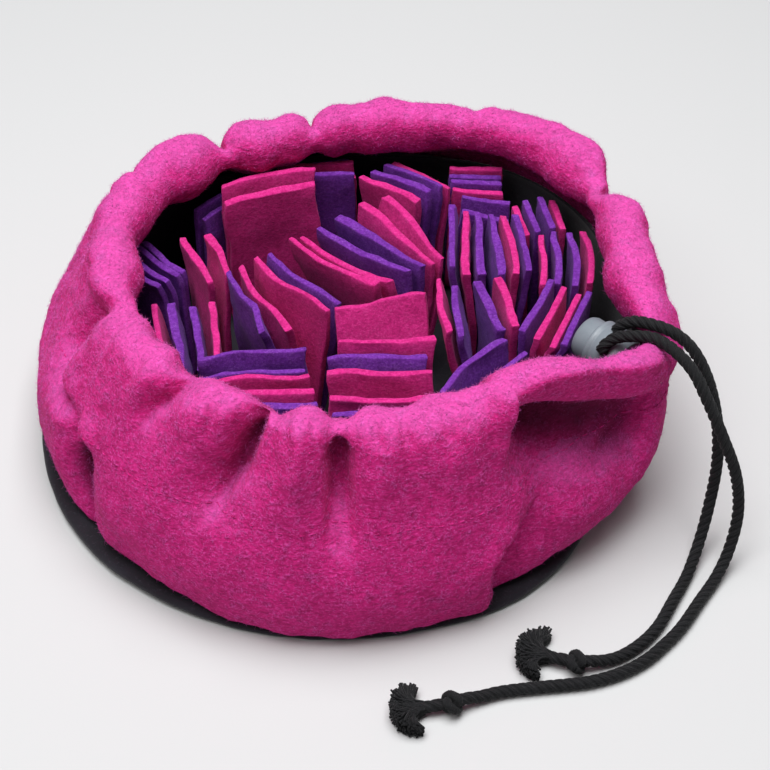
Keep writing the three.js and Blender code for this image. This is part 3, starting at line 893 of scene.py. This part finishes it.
def smooth_path(points: Sequence[Row], step: float) -> Array:
    """Evenly spaced points on the centripetal Catmull-Rom curve through points.

    Args:
        points: The points that the curve passes.
        step: The distance between the points that are wanted.

    Returns:
        The points on the curve, from the first point to the last.
    """
    given = np.array(points, float)
    padded = np.vstack([2 * given[0] - given[1], given, 2 * given[-1] - given[-2]])
    dense = []
    for before, start, end, after in zip(padded, padded[1:], padded[2:], padded[3:]):
        pairs = ((before, start), (start, end), (end, after))
        near, gap, far = (math.sqrt(max(np.linalg.norm(b - a), 1e-9)) for a, b in pairs)
        slope_in = (start - before) / near - (end - before) / (near + gap) + (end - start) / gap
        slope_out = (end - start) / gap - (after - start) / (gap + far) + (after - end) / far
        slope_in, slope_out = slope_in * gap, slope_out * gap
        for t in np.linspace(0, 1, 24, endpoint=False):
            bend = (2 * start - 2 * end + slope_in + slope_out) * t ** 3
            bend = bend + (3 * end - 3 * start - 2 * slope_in - slope_out) * t ** 2
            dense.append(bend + slope_in * t + start)
    dense = np.array([*dense, given[-1]])
    travel = travels(dense)
    marks = np.linspace(0, travel[-1], max(2, round(travel[-1] / step) + 1))
    return np.column_stack([np.interp(marks, travel, dense[:, axis]) for axis in range(3)])


@dataclass
class CordEnd:
    """One free end of the drawcord: the rope over the rim and along the floor, its knot and frayed tip.

    heading is the azimuth from the knot to the tassel, and tuft the bearing of the tassel's longest
    filaments from that, both in degrees.
    """

    side: CordSide
    root: Row
    route: Sequence[Row]
    knot: Row
    heading: float
    tuft: float
    seed: int
    diameter: float = 4.6 * MM
    knot_radius: float = 4.6 * MM
    knot_half_length: float = 3.9 * MM
    knot_swing: float = 1.05 * MM
    neck: float = 12 * MM
    neck_drop: float = 1.2 * MM
    filaments: int = 900
    filament_radius: float = 0.48 * MM
    filament_taper: float = 0.85
    filament_waver: float = 0.25 * MM
    brush_length: float = 9.0 * MM
    brush_width: float = 0.08
    brush_spread: float = 100.0
    brush_height: float = 8.5 * MM
    tuft_width: float = 10.0
    tuft_reach: float = 1.3
    floor_gap: float = 0.4 * MM

    def build(self) -> None:
        cord = self._cord()
        knot = self._knot()
        tassel = self._tassel()
        path = smooth_path(self._visible_route(), 2 * MM)

    def _named(self, kind: str, mesh: Mesh) -> Piece:
        """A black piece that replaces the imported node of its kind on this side.

        Args:
            kind: What the node's name starts with.
            mesh: The piece's mesh, in place.

        Returns:
            The piece.
        """
        node = f"{kind}_{self.side.value}"
        piece = dressed_mesh(f"{node}_yarn", mesh, BLACK_CORD)
        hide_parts(node)
        return piece

    def _cord(self) -> Piece:
        """The rope along the route."""
        rope = Rope(self.diameter / 2)
        return self._named("cord", rope.mesh(smooth_path(self._visible_route(), rope.step)))

    def _visible_route(self) -> list[Row]:
        """The route, carried on into the lock and into the knot."""
        return [self.root, *self.route, self.knot]

    def _axes(self) -> Array:
        """The tassel's own directions.

        Returns:
            Rows of the direction from the knot to the tassel, the level one across it, and up.
        """
        angle = math.radians(self.heading)
        along = Vector((math.cos(angle), math.sin(angle), 0))
        return np.array([along, (-along.y, along.x, 0), (0, 0, 1)])

    def _knot(self) -> Piece:
        """An overhand knot drawn tight: the rope wound twice round its own line.

        Returns:
            The piece.
        """
        rope = Rope(1.65 * MM, strands=3, yarns=4, lay=10 * MM, groove=0.2 * MM)
        swing = self.knot_swing
        angle = np.linspace(0, 2 * math.pi, 72)
        ring = self.knot_radius - rope.radius - swing + swing * np.cos(3 * angle)
        sway = 1.9 * swing * np.sin(3 * angle)
        winding = np.column_stack([sway, ring * np.cos(2 * angle), ring * np.sin(2 * angle)])
        return self._named("knot", rope.mesh(winding @ self._axes() + np.array(self.knot)))

    def _tassel(self) -> Piece:
        """The cord's frayed tip: a short neck of rope whose filaments splay into a brush.

        Returns:
            The piece.
        """
        axes = self._axes()
        start = np.array(self.knot) + 0.2 * self.knot_half_length * axes[0]
        marks = np.linspace(0, 1, 14)[:, None]
        neck = start + marks * (self.neck * axes[0] - np.array((0, 0, self.neck_drop)))
        filaments = self._brush(neck[-1], axes)
        brush = tubes("brush", filaments, self.filament_radius, 4, self.filament_taper)
        return self._named("tassel", joined(Rope(self.diameter / 2, lay=16 * MM).mesh(neck), brush))

    def _brush(self, root: Array, axes: Array) -> list[Array]:
        """The filaments' middle lines: out of the neck, then splayed to the sides and up.

        Args:
            root: The end of the neck.
            axes: Rows of the neck's direction, the level one across it, and up.

        Returns:
            The points of each line, none of them under the floor.
        """
        draw = np.random.default_rng(self.seed)
        lines = []
        for _ in range(self.filaments):
            bearing = self.brush_spread * draw.uniform(-1, 1)
            aside = math.radians(bearing)
            widening = 1 + self.brush_width * math.sin(aside) ** 2
            reach = self.brush_length * widening * draw.uniform(0.8, 1.0)
            if abs(bearing - self.tuft) < self.tuft_width:
                reach *= draw.uniform(1, self.tuft_reach)
            level = self.floor_gap + self.brush_height * draw.uniform(0, 1) * math.cos(0.6 * aside)
            spot = np.array([0, *(draw.uniform(-1, 1, 2) * 0.35 * self.diameter)])
            begin = root + (spot - np.array([3 * MM, 0, 0])) @ axes
            tip = root + reach * np.array([math.cos(aside), math.sin(aside), 0]) @ axes
            tip[2] = level
            push = np.array([0.4 * reach, 0.2 * reach * math.sin(aside), 0])
            middle = root + (push + spot) @ axes
            middle[2] = max(middle[2] + 0.12 * (level - root[2]), 2 * self.floor_gap)
            t = np.linspace(0, 1, 6)[:, None]
            line = (1 - t) ** 2 * begin + 2 * t * (1 - t) * middle + t ** 2 * tip
            line[1:] += draw.normal(scale=self.filament_waver, size=(5, 3))
            line[:, 2] = np.maximum(line[:, 2], self.floor_gap)
            lines.append(line)
        return lines


REAR_ROOT, FRONT_ROOT = in_metres([(101.3, -38.9, 75.4), (96.8, -45.3, 72.9)])
REAR_KNOT, FRONT_KNOT = in_metres([(85, -131.9, 4.6), (41, -149, 4.6)])
REAR_ROUTE = in_metres([
    (101.6, -38.6, 77.7), (106, -40.2, 82), (112, -43.2, 83.6), (119.5, -47, 83.2), (126.2, -50.2, 78.8),
    (132.2, -55.2, 69.5), (136.8, -61, 55), (138.8, -66, 38), (137.6, -71.5, 20), (134.2, -80, 7.5),
    (129, -91.5, 2.7), (122.6, -103, 2.7), (115.2, -115.5, 2.7), (108, -123.2, 2.7), (100.2, -128.4, 2.7),
    (93.5, -130.8, 3.6), (90.1, -131.5, 4.6),
])
FRONT_ROUTE = in_metres([
    (95.2, -46.9, 75.2), (99.4, -46, 79.2), (105.6, -47.6, 81.8), (112.8, -50.2, 83), (119.6, -55.2, 81.6),
    (125.6, -61.4, 77.8), (130.6, -67.4, 70), (137, -72.5, 57), (143.8, -76, 40), (146.6, -79, 22.4),
    (144.4, -84.8, 9.2), (140, -92.1, 3.8), (132.4, -103, 2.7), (123.6, -115.8, 2.7), (117, -123, 2.7),
    (109.6, -129.8, 2.7), (100.4, -135.2, 2.7), (89.8, -138.8, 2.7), (79, -140.4, 2.7), (68.4, -141.6, 2.7),
    (58, -143.2, 2.7), (50, -145.8, 3.4), (45.4, -147.4, 4.6),
])


@dataclass(frozen=True)
class Crease:
    """A fold line on the wall, as rows of azimuth, height and depth; a depth below zero makes a ridge.

    Heights, depths and widths are in millimetres. left and right are its half widths on its two sides,
    for someone who looks at the wall from outside and follows the line, and end is how far it fades past
    its ends. A higher flatness makes steeper sides, and shade says how much painted shade it gets for its
    depth.
    """

    line: Sequence[tuple[float, float, float]]
    left: float
    right: float
    flatness: float = 2.0
    end: float = 5.0
    shade: float = 1.0
    mm_per_degree: float = 2.0

    def depth_at(self, azimuth: Array, height: Array, least: float = 0.0) -> Array:
        """How deep the crease is.

        Args:
            azimuth: The azimuths, in degrees.
            height: The heights, in metres.
            least: The least half width, in millimetres, if the crease isn't a ridge.

        Returns:
            The depths, in metres.
        """
        ridge = min(depth for _, _, depth in self.line) < 0
        left, right = (half if ridge else max(half, least) for half in (self.left, self.right))
        nearest = np.full(azimuth.shape, np.inf)
        depth = np.zeros(azimuth.shape)
        for (start, low, first), (end, high, last) in zip(self.line, self.line[1:]):
            along = np.array([self.mm_per_degree * turn(end, start), high - low])
            offset = np.stack([self.mm_per_degree * turn(azimuth, start), height / MM - low], axis=-1)
            span = np.linalg.norm(along)
            travel = offset @ along / span
            share = np.clip(travel / span, 0, 1)
            aside = (along[0] * offset[:, 1] - along[1] * offset[:, 0]) / span
            beyond = travel - share * span
            away = np.hypot(aside / np.where(aside > 0, left, right), beyond / self.end)
            closer = away < nearest
            nearest = np.where(closer, away, nearest)
            depth = np.where(closer, first + share * (last - first), depth)
        return depth * np.exp(-nearest ** self.flatness) * MM


FRONT_TROUGH = Crease(
    ((271, 50, 2), (271.2, 58, 5), (271.3, 67, 7.5), (271.4, 79, 8)), 5.0, 5.4, flatness=6, shade=1.6)
FRONT_BULGE = Crease(((262.6, 60, -1), (263.4, 76, -4), (263.8, 87, -3)), 8.0, 7.0)
NEXT_BULGE = Crease(((279, 66, -1.5), (281, 80, -3.5), (296, 79, -2.5)), 9.0, 12.0)
MAIN_FOLD = Crease(
    ((247, 50, 2), (250.1, 58, 7.5), (253.2, 67, 12), (255.2, 78, 13), (256.4, 88, 7)),
    9.0, 1.8, shade=1.4)
MAIN_FOLD_HOLLOW = Crease(((242, 55, 1), (247.5, 66, 3)), 9, 9)
SHOULDER_FOLD = Crease(((229.5, 68, 1), (233, 77, 4), (237.5, 87, 6.5), (242, 93, 5)), 5.0, 2.4, shade=1.6)
TUCK = Crease(
    ((221, 4, 2), (219.6, 14, 5), (218.2, 22, 9), (217.2, 30, 13.5), (217, 37, 13.5), (217.4, 44, 8),
     (214, 52, 4)),
    8.0, 2.6, shade=2.8)
TUCK_BROW = Crease(((204, 46, -2), (211, 49, -5), (218, 52, -3)), 5.0, 4.0)
LOBE_EDGE = Crease(
    ((217, 46, 3), (210, 53, 3.5), (202, 54.5, 4.5), (198, 61, 5), (199, 72, 4), (204, 84, 3),
     (209, 90, 1.5)),
    7.0, 2.5)
LOBE = Crease(((206, 58, -2), (204, 66, -3), (206, 77, -2)), 7.0, 9.0)
COLLAR_CORNER = Crease(((302.2, 60, -0.5), (302.6, 74, -3.5), (303.4, 86, -4.5), (304, 93, -3)), 6.0, 2.2)
COLLAR_HOLLOW = Crease(
    ((305.8, 78, 9), (310, 76, 16), (316, 71, 20), (323, 65, 20), (331, 61, 11)), 5.4, 20.0)
COLLAR_ROLL = Crease(((304.5, 90, -1.5), (312, 90, -3.5), (322, 87, -4), (331, 83, -2.5)), 5.0, 3.0)
COLLAR_DIMPLE = Crease(((306.5, 77, 4), (309.5, 71, 7), (313, 65, 3)), 5.0, 4.0)
COLLAR_END = Crease(((333, 78, -2), (337, 72, -7), (342, 70, -8), (347, 74, -4)), 9.0, 8.0)
CORD_SEAT = Crease(((334, 78, 0.5), (337, 88, 2), (338, 95, 2)), 7.0, 7.0)
BACK_LEFT_ROLL = Crease(
    ((131, 86, -3.5), (136, 88, -4), (141, 88, -1.5), (150, 87, -3), (157, 86, -3)), 9.0, 9.0)
BACK_RIGHT_ROLL = Crease(((21, 86, -2.5), (27, 88, -3.5), (38, 88, -2.5)), 9.0, 9.0)
RIGHT_ROLL = Crease(((7, 86, -2), (10, 87, -3), (12, 87, -2)), 8.0, 8.0, end=4)
LEFT_FLANK = Crease(((180, 42, 3), (186, 60, 4.5), (188, 78, 4)), 20.0, 20.0)
SIDE_FOLD = Crease(((319, 45, 0.5), (325, 48, 3), (331, 51, 1)), 3.0, 4.0)
FLANK = Crease(((324, 34, 1.5), (328, 46, 5), (331, 55, 5), (336, 58, 3)), 9.0, 10.0)
PLEAT = Crease(
    ((299.6, 2, 3.5), (298.8, 16, 5), (299.2, 29, 5), (302.2, 34, 4), (306, 40, 2.5), (310, 46, 0.5)),
    1.4, 9.0)
PLEAT_LIP = Crease(
    ((296.8, 2, -2), (296, 16, -2.8), (296.4, 30, -2.8), (299.4, 36, -2), (304, 43, -0.8)), 7.0, 1.5)
BACK_NOTCHES = tuple(
    Crease(((azimuth, 60, 0.5), (azimuth, 80, depth), (azimuth, 96, depth)), width, width)
    for azimuth, depth, width in (
        (127, 4.5, 2.4), (99, 4, 2.2), (17.5, 4, 3.5), (57, 1.5, 4), (152, 1.2, 3)))
FRONT_PUCKERS = tuple(
    Crease(((azimuth, 76, 0.2), (azimuth + lean, 86, depth), (azimuth + 2 * lean, 95, depth)), width, width)
    for azimuth, lean, depth, width in (
        (246, 0.5, 1.6, 2.6), (262.5, -0.3, 1.5, 2.4), (266, 0.4, 1.2, 2), (278, 0.3, 1.8, 2.8),
        (284, -0.4, 1.4, 2.2), (291, 0.5, 1.6, 3), (225, 0.8, 1.8, 3), (212, 0.6, 1.5, 3),
        (187, 0.4, 1.6, 3)))
WALL_CREASES = (
    FRONT_TROUGH, FRONT_BULGE, NEXT_BULGE, MAIN_FOLD, MAIN_FOLD_HOLLOW, SHOULDER_FOLD, TUCK, TUCK_BROW,
    LOBE_EDGE, LOBE, COLLAR_CORNER, COLLAR_HOLLOW, COLLAR_ROLL, COLLAR_END, CORD_SEAT, SIDE_FOLD, FLANK,
    PLEAT, PLEAT_LIP, COLLAR_DIMPLE, LEFT_FLANK, BACK_LEFT_ROLL, BACK_RIGHT_ROLL, RIGHT_ROLL,
    *BACK_NOTCHES, *FRONT_PUCKERS)

# On the wall's inner side a crease is at least this half width in millimetres, and this share as deep.
INNER_CREASE = 6.0
INNER_SHARE = 0.62
# Between these levels the rim comes to sink by a share of each crease's depth, and to swell up.
RIM_SINK = 0.5
RIM_LEVELS = (74 * MM, 90 * MM)
RIM_LIFTS = ((309, 3.0, 6), (318, 4.5, 8))


def crease_depths(places: Array, least: float = 0.0, shaded: bool = False) -> Array:
    """How deep the wall's creases are at points.

    Args:
        places: The points.
        least: The creases' least half width, in millimetres.
        shaded: Whether to weight each crease's depth by how much painted shade it gets instead.

    Returns:
        The depths in metres, as a column.
    """
    azimuth = azimuths(places)
    depths = [
        crease.depth_at(azimuth, places[:, 2], least) * (crease.shade if shaded else 1)
        for crease in WALL_CREASES]
    return sum(depths)[:, None]


def crease_moves(places: Array, least: float = 0.0) -> Array:
    """How the creases move points: inward, and up or down at the rim.

    Args:
        places: The points.
        least: The creases' least half width in millimetres, which is given for the wall's inner side.

    Returns:
        The moves, in metres.
    """
    upward = smooth_step(places[:, 2:], *RIM_LEVELS) * np.array([[0, 0, 1]])
    depths = crease_depths(places, least) * (INNER_SHARE if least else 1)
    return -depths * outward(places) + (swells(places, RIM_LIFTS) - RIM_SINK * depths) * upward


@dataclass
class Wall:
    """The gathered wool ring with its rolled rim, its nap and the casing's line of stitches."""

    levels: int = 2
    swell: float = 0.5 * MM
    lump: float = 0.9 * MM
    lump_size: float = 13 * MM
    ripple: float = 0.5 * MM
    ripple_size: float = 4.5 * MM
    refined_depth: float = 0.5 * MM
    refined_side: float = -0.3
    # The painted shade in deep creases grows between these shaded crease depths.
    fold_depths: Row = (5 * MM, 20 * MM)
    outer_side: Row = (-0.5, 0.5)
    # The painted light on upper sides grows between these heights of the normal.
    upper_side: Row = (0.4, 0.95)
    flat_size: Row = (0.76, 0.115)
    stitch_level: float = 53.5 * MM
    stitch_girth: float = 2 * math.pi * 0.115
    stitch_length: float = 2.2 * MM
    stitch_pitch: float = 3.6 * MM
    thread_radius: float = 0.22 * MM
    nap_level: float = 4 * MM

    def build(self) -> None:
        shape = rounded(cad_copy("wall"), self.levels)
        self._refine(shape)
        # Painted shade in deep creases, from the creases' depths before the relief moves the surface.
        folds = self._fold_shade_amount(shape)
        displaced(shape, self._relief)
        wall = dressed("wall_wool", shape, PINK_WOOL)
        # Painted light on upper sides, by how far each normal points up.
        lying = np.empty(3 * len(wall.data.vertices), np.float32)
        wall.data.vertices.foreach_get("normal", lying)
        top_light_paint = smooth_step(lying[2::3], *self.upper_side)
        # The wool's material paints shade and light from these values that the vertices carry.
        for attribute, values in ((PAINTED_FOLD_SHADE, folds), (PAINTED_TOP_LIGHT, top_light_paint)):
            wall.data.attributes.new(attribute, "FLOAT", "POINT").data.foreach_set("value", values)
        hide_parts("wall")
        stitches = self._stitches(wall)
        # The pale nap is thicker on upper sides, which partly paints light there.
        fibres = Nap(count=48000, length=2.1 * MM, thickness=0.11 * MM, lift=0.6, seed=11, upper_bias=8.0)
        nap = fibres.build("wall_nap", [wall], PINK_NAP, self.nap_level)

    def _refine(self, shape: Shape) -> None:
        """Splits the outer side's edges where creases are, so that the mesh can follow them.

        Args:
            shape: The wall's mesh, which is changed.
        """
        places, normals = vertex_rows(shape)
        outer = np.sum(outward(places) * normals, axis=1) > self.refined_side
        creased = (np.abs(crease_depths(places)[:, 0]) > self.refined_depth) & outer
        shape.verts.index_update()
        edges = [edge for edge in shape.edges if any(creased[vertex.index] for vertex in edge.verts)]
        bmesh.ops.subdivide_edges(shape, edges=edges, cuts=1, use_grid_fill=True)

    def _fold_shade_amount(self, shape: Shape) -> Array:
        """How much painted shade each vertex gets in a deep crease, from 0 to 1."""
        places, _ = vertex_rows(shape)
        return smooth_step(crease_depths(places, shaded=True)[:, 0], *self.fold_depths)

    def _relief(self, places: Array, normals: Array) -> Array:
        """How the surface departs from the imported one: the creases, and lumps of the soft cloth.

        Args:
            places: The places of the vertices.
            normals: Their normals.

        Returns:
            The moves.
        """
        rise = self.swell + self.lump * lumps(places, self.lump_size)
        rise = rise + self.ripple * lumps(places, self.ripple_size)
        facing = np.sum(outward(places) * normals, axis=1, keepdims=True)
        outer = smooth_step(facing, *self.outer_side)
        moves = outer * crease_moves(places) + (1 - outer) * crease_moves(places, INNER_CREASE)
        return moves + rise * normals

    def _stitches(self, wall: Piece) -> Piece:
        """Short threads in a line round the wall, where the casing is sewn down.

        Args:
            wall: The wall's piece.

        Returns:
            The piece of all the threads.
        """
        tree = BVHTree.FromObject(wall, bpy.context.evaluated_depsgraph_get())
        count = round(self.stitch_girth / self.stitch_pitch)
        lines = []
        for i in range(count):
            line = []
            for share in (-0.5, -0.25, 0, 0.25, 0.5):
                angle = 2 * math.pi * (i + share * self.stitch_length / self.stitch_pitch) / count
                away = Vector((math.cos(angle), math.sin(angle), 0))
                start = 0.2 * away + Vector((0, 0, self.stitch_level))
                place, normal, _, _ = tree.ray_cast(start, -away)
                line.append(place + normal * self.thread_radius * (0.75 - 6 * share * share))
            lines.append(np.array(line))
        threads = tubes("stitches", lines, self.thread_radius, 6)
        return dressed_mesh("casing_stitches", threads, PINK_WOOL)


@dataclass
class Base:
    """The black cloth disc under the wall, with its soft edge."""

    levels: int = 2
    pucker: float = 0.35 * MM
    pucker_size: float = 9 * MM
    puff: float = 0.6
    underside: float = 0.4 * MM
    spreads: Sequence[Row] = ((222, 2.2, 28), (303, 2.4, 13), (333, -4.0, 13))
    edge: Row = (104 * MM, 118 * MM)
    flat_size: Row = (0.252, 0.252)

    def build(self) -> None:
        shape = rounded(cad_copy("base_disc"), self.levels)
        displaced(shape, self._relief)
        base = dressed("base_cloth", shape, BLACK_CLOTH)
        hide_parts("base_disc")

    def _relief(self, places: Array, normals: Array) -> Array:
        """Small puckers, and an edge drawn out or in at places; the underside stays flat.

        Args:
            places: The places of the vertices.
            normals: Their normals.

        Returns:
            The moves.
        """
        drawn = swells(places, self.spreads) * smooth_step(radii(places), *self.edge) * outward(places)
        puckers = normals * self.pucker * (self.puff + lumps(places, self.pucker_size))
        return drawn + np.where(places[:, 2:] < self.underside, -places * (0, 0, 1), puckers)


@dataclass
class Lining:
    """The black bag inside the wall."""

    levels: int = 1
    sag: float = 0.5 * MM
    sag_size: float = 14 * MM
    side: Row = (80 * MM, 90 * MM)
    above_floor: Row = (8 * MM, 16 * MM)
    flat_size: Row = (0.30, 0.30)

    def build(self) -> None:
        shape = rounded(cad_copy("lining"), self.levels)
        displaced(shape, self._relief)
        lining = dressed("lining_cloth", shape, BLACK_CLOTH)
        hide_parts("lining")

    def _relief(self, places: Array, normals: Array) -> Array:
        """Soft sags, and the side pushed in where the wall's creases are.

        Args:
            places: The places of the vertices.
            normals: Their normals.

        Returns:
            The moves.
        """
        side = smooth_step(radii(places), *self.side) * smooth_step(places[:, 2:], *self.above_floor)
        sags = normals * self.sag * lumps(places, self.sag_size)
        return sags + side * crease_moves(places, INNER_CREASE)


@dataclass
class FeltStrips:
    """The folded felt strips, each two standing leaves, softly bent and cut by hand."""

    thickness: float = 3 * MM
    edge: float = 0.7 * MM
    sharpness: float = 62.0
    levels: int = 2
    sway: float = 3.4 * MM
    sway_size: float = 30 * MM
    ripple: float = 0.9 * MM
    ripple_size: float = 9 * MM
    rag: float = 0.35 * MM
    rag_size: float = 2.6 * MM
    foot: float = 8 * MM
    tip: float = 66 * MM
    back_lift: float = 4 * MM
    back: Row = (20 * MM, 60 * MM)
    wall_room: Row = (64 * MM, 82 * MM)
    pushed: Row = (70 * MM, 88 * MM)
    push_limit: float = 4 * MM

    def build(self) -> None:
        slots = {row["node"]: row["material_slot"] for row in frame["record"]["subparts"]}
        strips: dict[str, list[Piece]] = {slot: [] for slot in FELT_FINISHES}
        for node in sorted(name for name in frame["nodes"] if name.startswith("felt_")):
            strips[slots[node]].append(self._strip(node, FELT_FINISHES[slots[node]]))
        for slot, pieces in strips.items():
            fibres = Nap(count=16000, length=1.1 * MM, thickness=0.08 * MM, lift=0.8, seed=21)
            fibres.build(f"{slot}_nap", pieces, FELT_FINISHES[slot], 2 * self.foot)

    def _strip(self, node: str, finish: WoolFinish) -> Piece:
        """One strip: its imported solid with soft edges, rounded bends and the felt's own unevenness.

        Args:
            node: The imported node's name.
            finish: The felt that it is cut from.

        Returns:
            The piece.
        """
        shape = cad_copy(node)
        width, length = self._flat_size(shape)
        softened(shape, self.sharpness, self.edge, segments=2)
        shape = rounded(shape, self.levels)
        displaced(shape, self._relief)
        strip = dressed(f"{node}_leaves", shape, finish)
        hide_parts(node)
        return strip

    def _flat_size(self, shape: Shape) -> tuple[float, float]:
        """The strip's width along its fold and its length before it was folded.

        Args:
            shape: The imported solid.

        Returns:
            The width and the length.
        """
        lowest = min(vertex.co.z for vertex in shape.verts)
        fold = [edge for edge in shape.edges if max(v.co.z for v in edge.verts) < lowest + 0.05 * MM]
        longest = max(fold, key=lambda edge: edge.calc_length())
        along = (longest.verts[1].co - longest.verts[0].co).normalized()
        reach = [vertex.co.dot(along) for vertex in shape.verts]
        width = max(reach) - min(reach)
        return width, shape.calc_volume() / self.thickness / width

    def _relief(self, places: Array, normals: Array) -> Array:
        """Bends and ripples that all leaves share, so that they stay apart, and a ragged surface.

        Args:
            places: The places of the vertices.
            normals: Their normals.

        Returns:
            The moves.
        """
        height = smooth_step(places[:, 2:], self.foot, self.tip)
        reach = radii(places)
        room = 1 - smooth_step(reach, *self.wall_room)
        bend = self.sway * wander(places, self.sway_size) + self.ripple * wander(places, self.ripple_size)
        rise = self.back_lift * smooth_step(places[:, 1:2], *self.back) * np.array([[0, 0, 1]])
        rag = normals * self.rag * lumps(places, self.rag_size)
        pushed = smooth_step(reach, *self.pushed) * smooth_step(places[:, 2:], self.foot, 2 * self.foot)
        push = -np.clip(crease_depths(places, INNER_CREASE), 0, self.push_limit) * outward(places)
        return height * (room * (bend * (1, 1, 0.5) + rise) + rag) + pushed * push


@dataclass
class CordLock:
    """The plastic cord lock: an open barrel and the spring button in it."""

    place: Row = (0.1005, -0.040, 0.0665)
    azimuth: float = 135.0
    radius: float = 9.75 * MM
    half_length: float = 7 * MM
    bore_radius: float = 8.5 * MM
    bore_depth: float = 11.5 * MM
    button_reach: float = 7 * MM
    travel: float = 4 * MM
    gap: float = 0.3 * MM
    barrel_edge: float = 0.27 * MM
    button_edge: float = 0.33 * MM
    band: float = 0.25 * MM
    sharpness: float = 40.0
    steps: int = 64

    def build(self) -> None:
        """Makes the barrel and the button."""
        barrel = self._turned(self._barrel_profile(), self.barrel_edge)
        piece = dressed("lock_barrel_moulding", barrel, GREY_PLASTIC)
        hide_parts("lock_barrel")
        button = self._turned(self._button_profile(), self.button_edge)
        piece = dressed("lock_button_moulding", button, GREY_PLASTIC, Body.BUTTON)
        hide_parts("lock_button")

    def _barrel_profile(self) -> list[tuple[float, float]]:
        """The barrel's half section.

        Returns:
            Radii and places along the axis, from the closed tail to the bore's floor.
        """
        radius, bore, half = self.radius, self.bore_radius, self.half_length
        floor = half - self.bore_depth
        groove = radius - self.band
        return [
            (0, -half + 0.6 * MM), (0.55 * radius, -half + 0.4 * MM), (0.8 * radius, -half),
            (radius, -half + 2.4 * MM), (radius, half - 3.2 * MM), (groove, half - 2.9 * MM),
            (groove, half - 2.5 * MM), (radius, half - 2.2 * MM), (radius, half - 0.6 * MM),
            (radius - 0.6 * MM, half), (bore, half), (bore, floor), (0, floor),
        ]

    def _button_profile(self) -> list[tuple[float, float]]:
        """The button's half section.

        Returns:
            Radii and places along the axis, from the hidden foot to the dished top.
        """
        radius = self.bore_radius - self.gap
        foot = self.half_length - self.bore_depth + self.travel + self.gap
        top = self.half_length + self.button_reach
        return [
            (0, foot), (radius, foot), (radius, top - 2.4 * MM), (radius - 0.7 * MM, top - 0.7 * MM),
            (radius - 2.4 * MM, top), (0.45 * radius, top - 0.3 * MM), (0, top - 0.5 * MM),
        ]

    def _turned(self, profile: Sequence[tuple[float, float]], edge: float) -> Shape:
        """A profile turned about the lock's axis, with its edges softened.

        Args:
            profile: Radii and places along the axis.
            edge: How far from a sharp edge its rounding starts.

        Returns:
            The turned solid, in place.
        """
        shape = bmesh.new()
        verts = [shape.verts.new((radius, 0, along)) for radius, along in profile]
        edges = [shape.edges.new(pair) for pair in zip(verts, verts[1:])]
        bmesh.ops.spin(
            shape, geom=[*verts, *edges], cent=(0, 0, 0), axis=(0, 0, 1), angle=2 * math.pi,
            steps=self.steps, use_merge=True)
        bmesh.ops.remove_doubles(shape, verts=shape.verts, dist=0.01 * MM)
        bmesh.ops.recalc_face_normals(shape, faces=shape.faces)
        softened(shape, self.sharpness, edge, segments=3)
        angle = math.radians(self.azimuth)
        axis = Vector((math.cos(angle), math.sin(angle), 0))
        stand = Vector((0, 0, 1)).rotation_difference(axis).to_matrix().to_4x4()
        bmesh.ops.transform(shape, matrix=Matrix.Translation(self.place) @ stand, verts=shape.verts)
        return shape


def main() -> None:
    """Builds the camera, the cords and then every other piece."""
    logging.basicConfig(level=logging.INFO, format="%(message)s")
    noise.seed_set(NOISE_SEED)
    Studio().build()
    CordEnd(CordSide.REAR, REAR_ROOT, REAR_ROUTE, REAR_KNOT, heading=163, tuft=-84, seed=3).build()
    CordEnd(
        CordSide.FRONT, FRONT_ROOT, FRONT_ROUTE, FRONT_KNOT, heading=188, tuft=-70, seed=5,
        tuft_reach=1.05).build()
    CordLock().build()
    Base().build()
    Lining().build()
    Wall().build()
    FeltStrips().build()


if __name__ == "__main__":
    main()
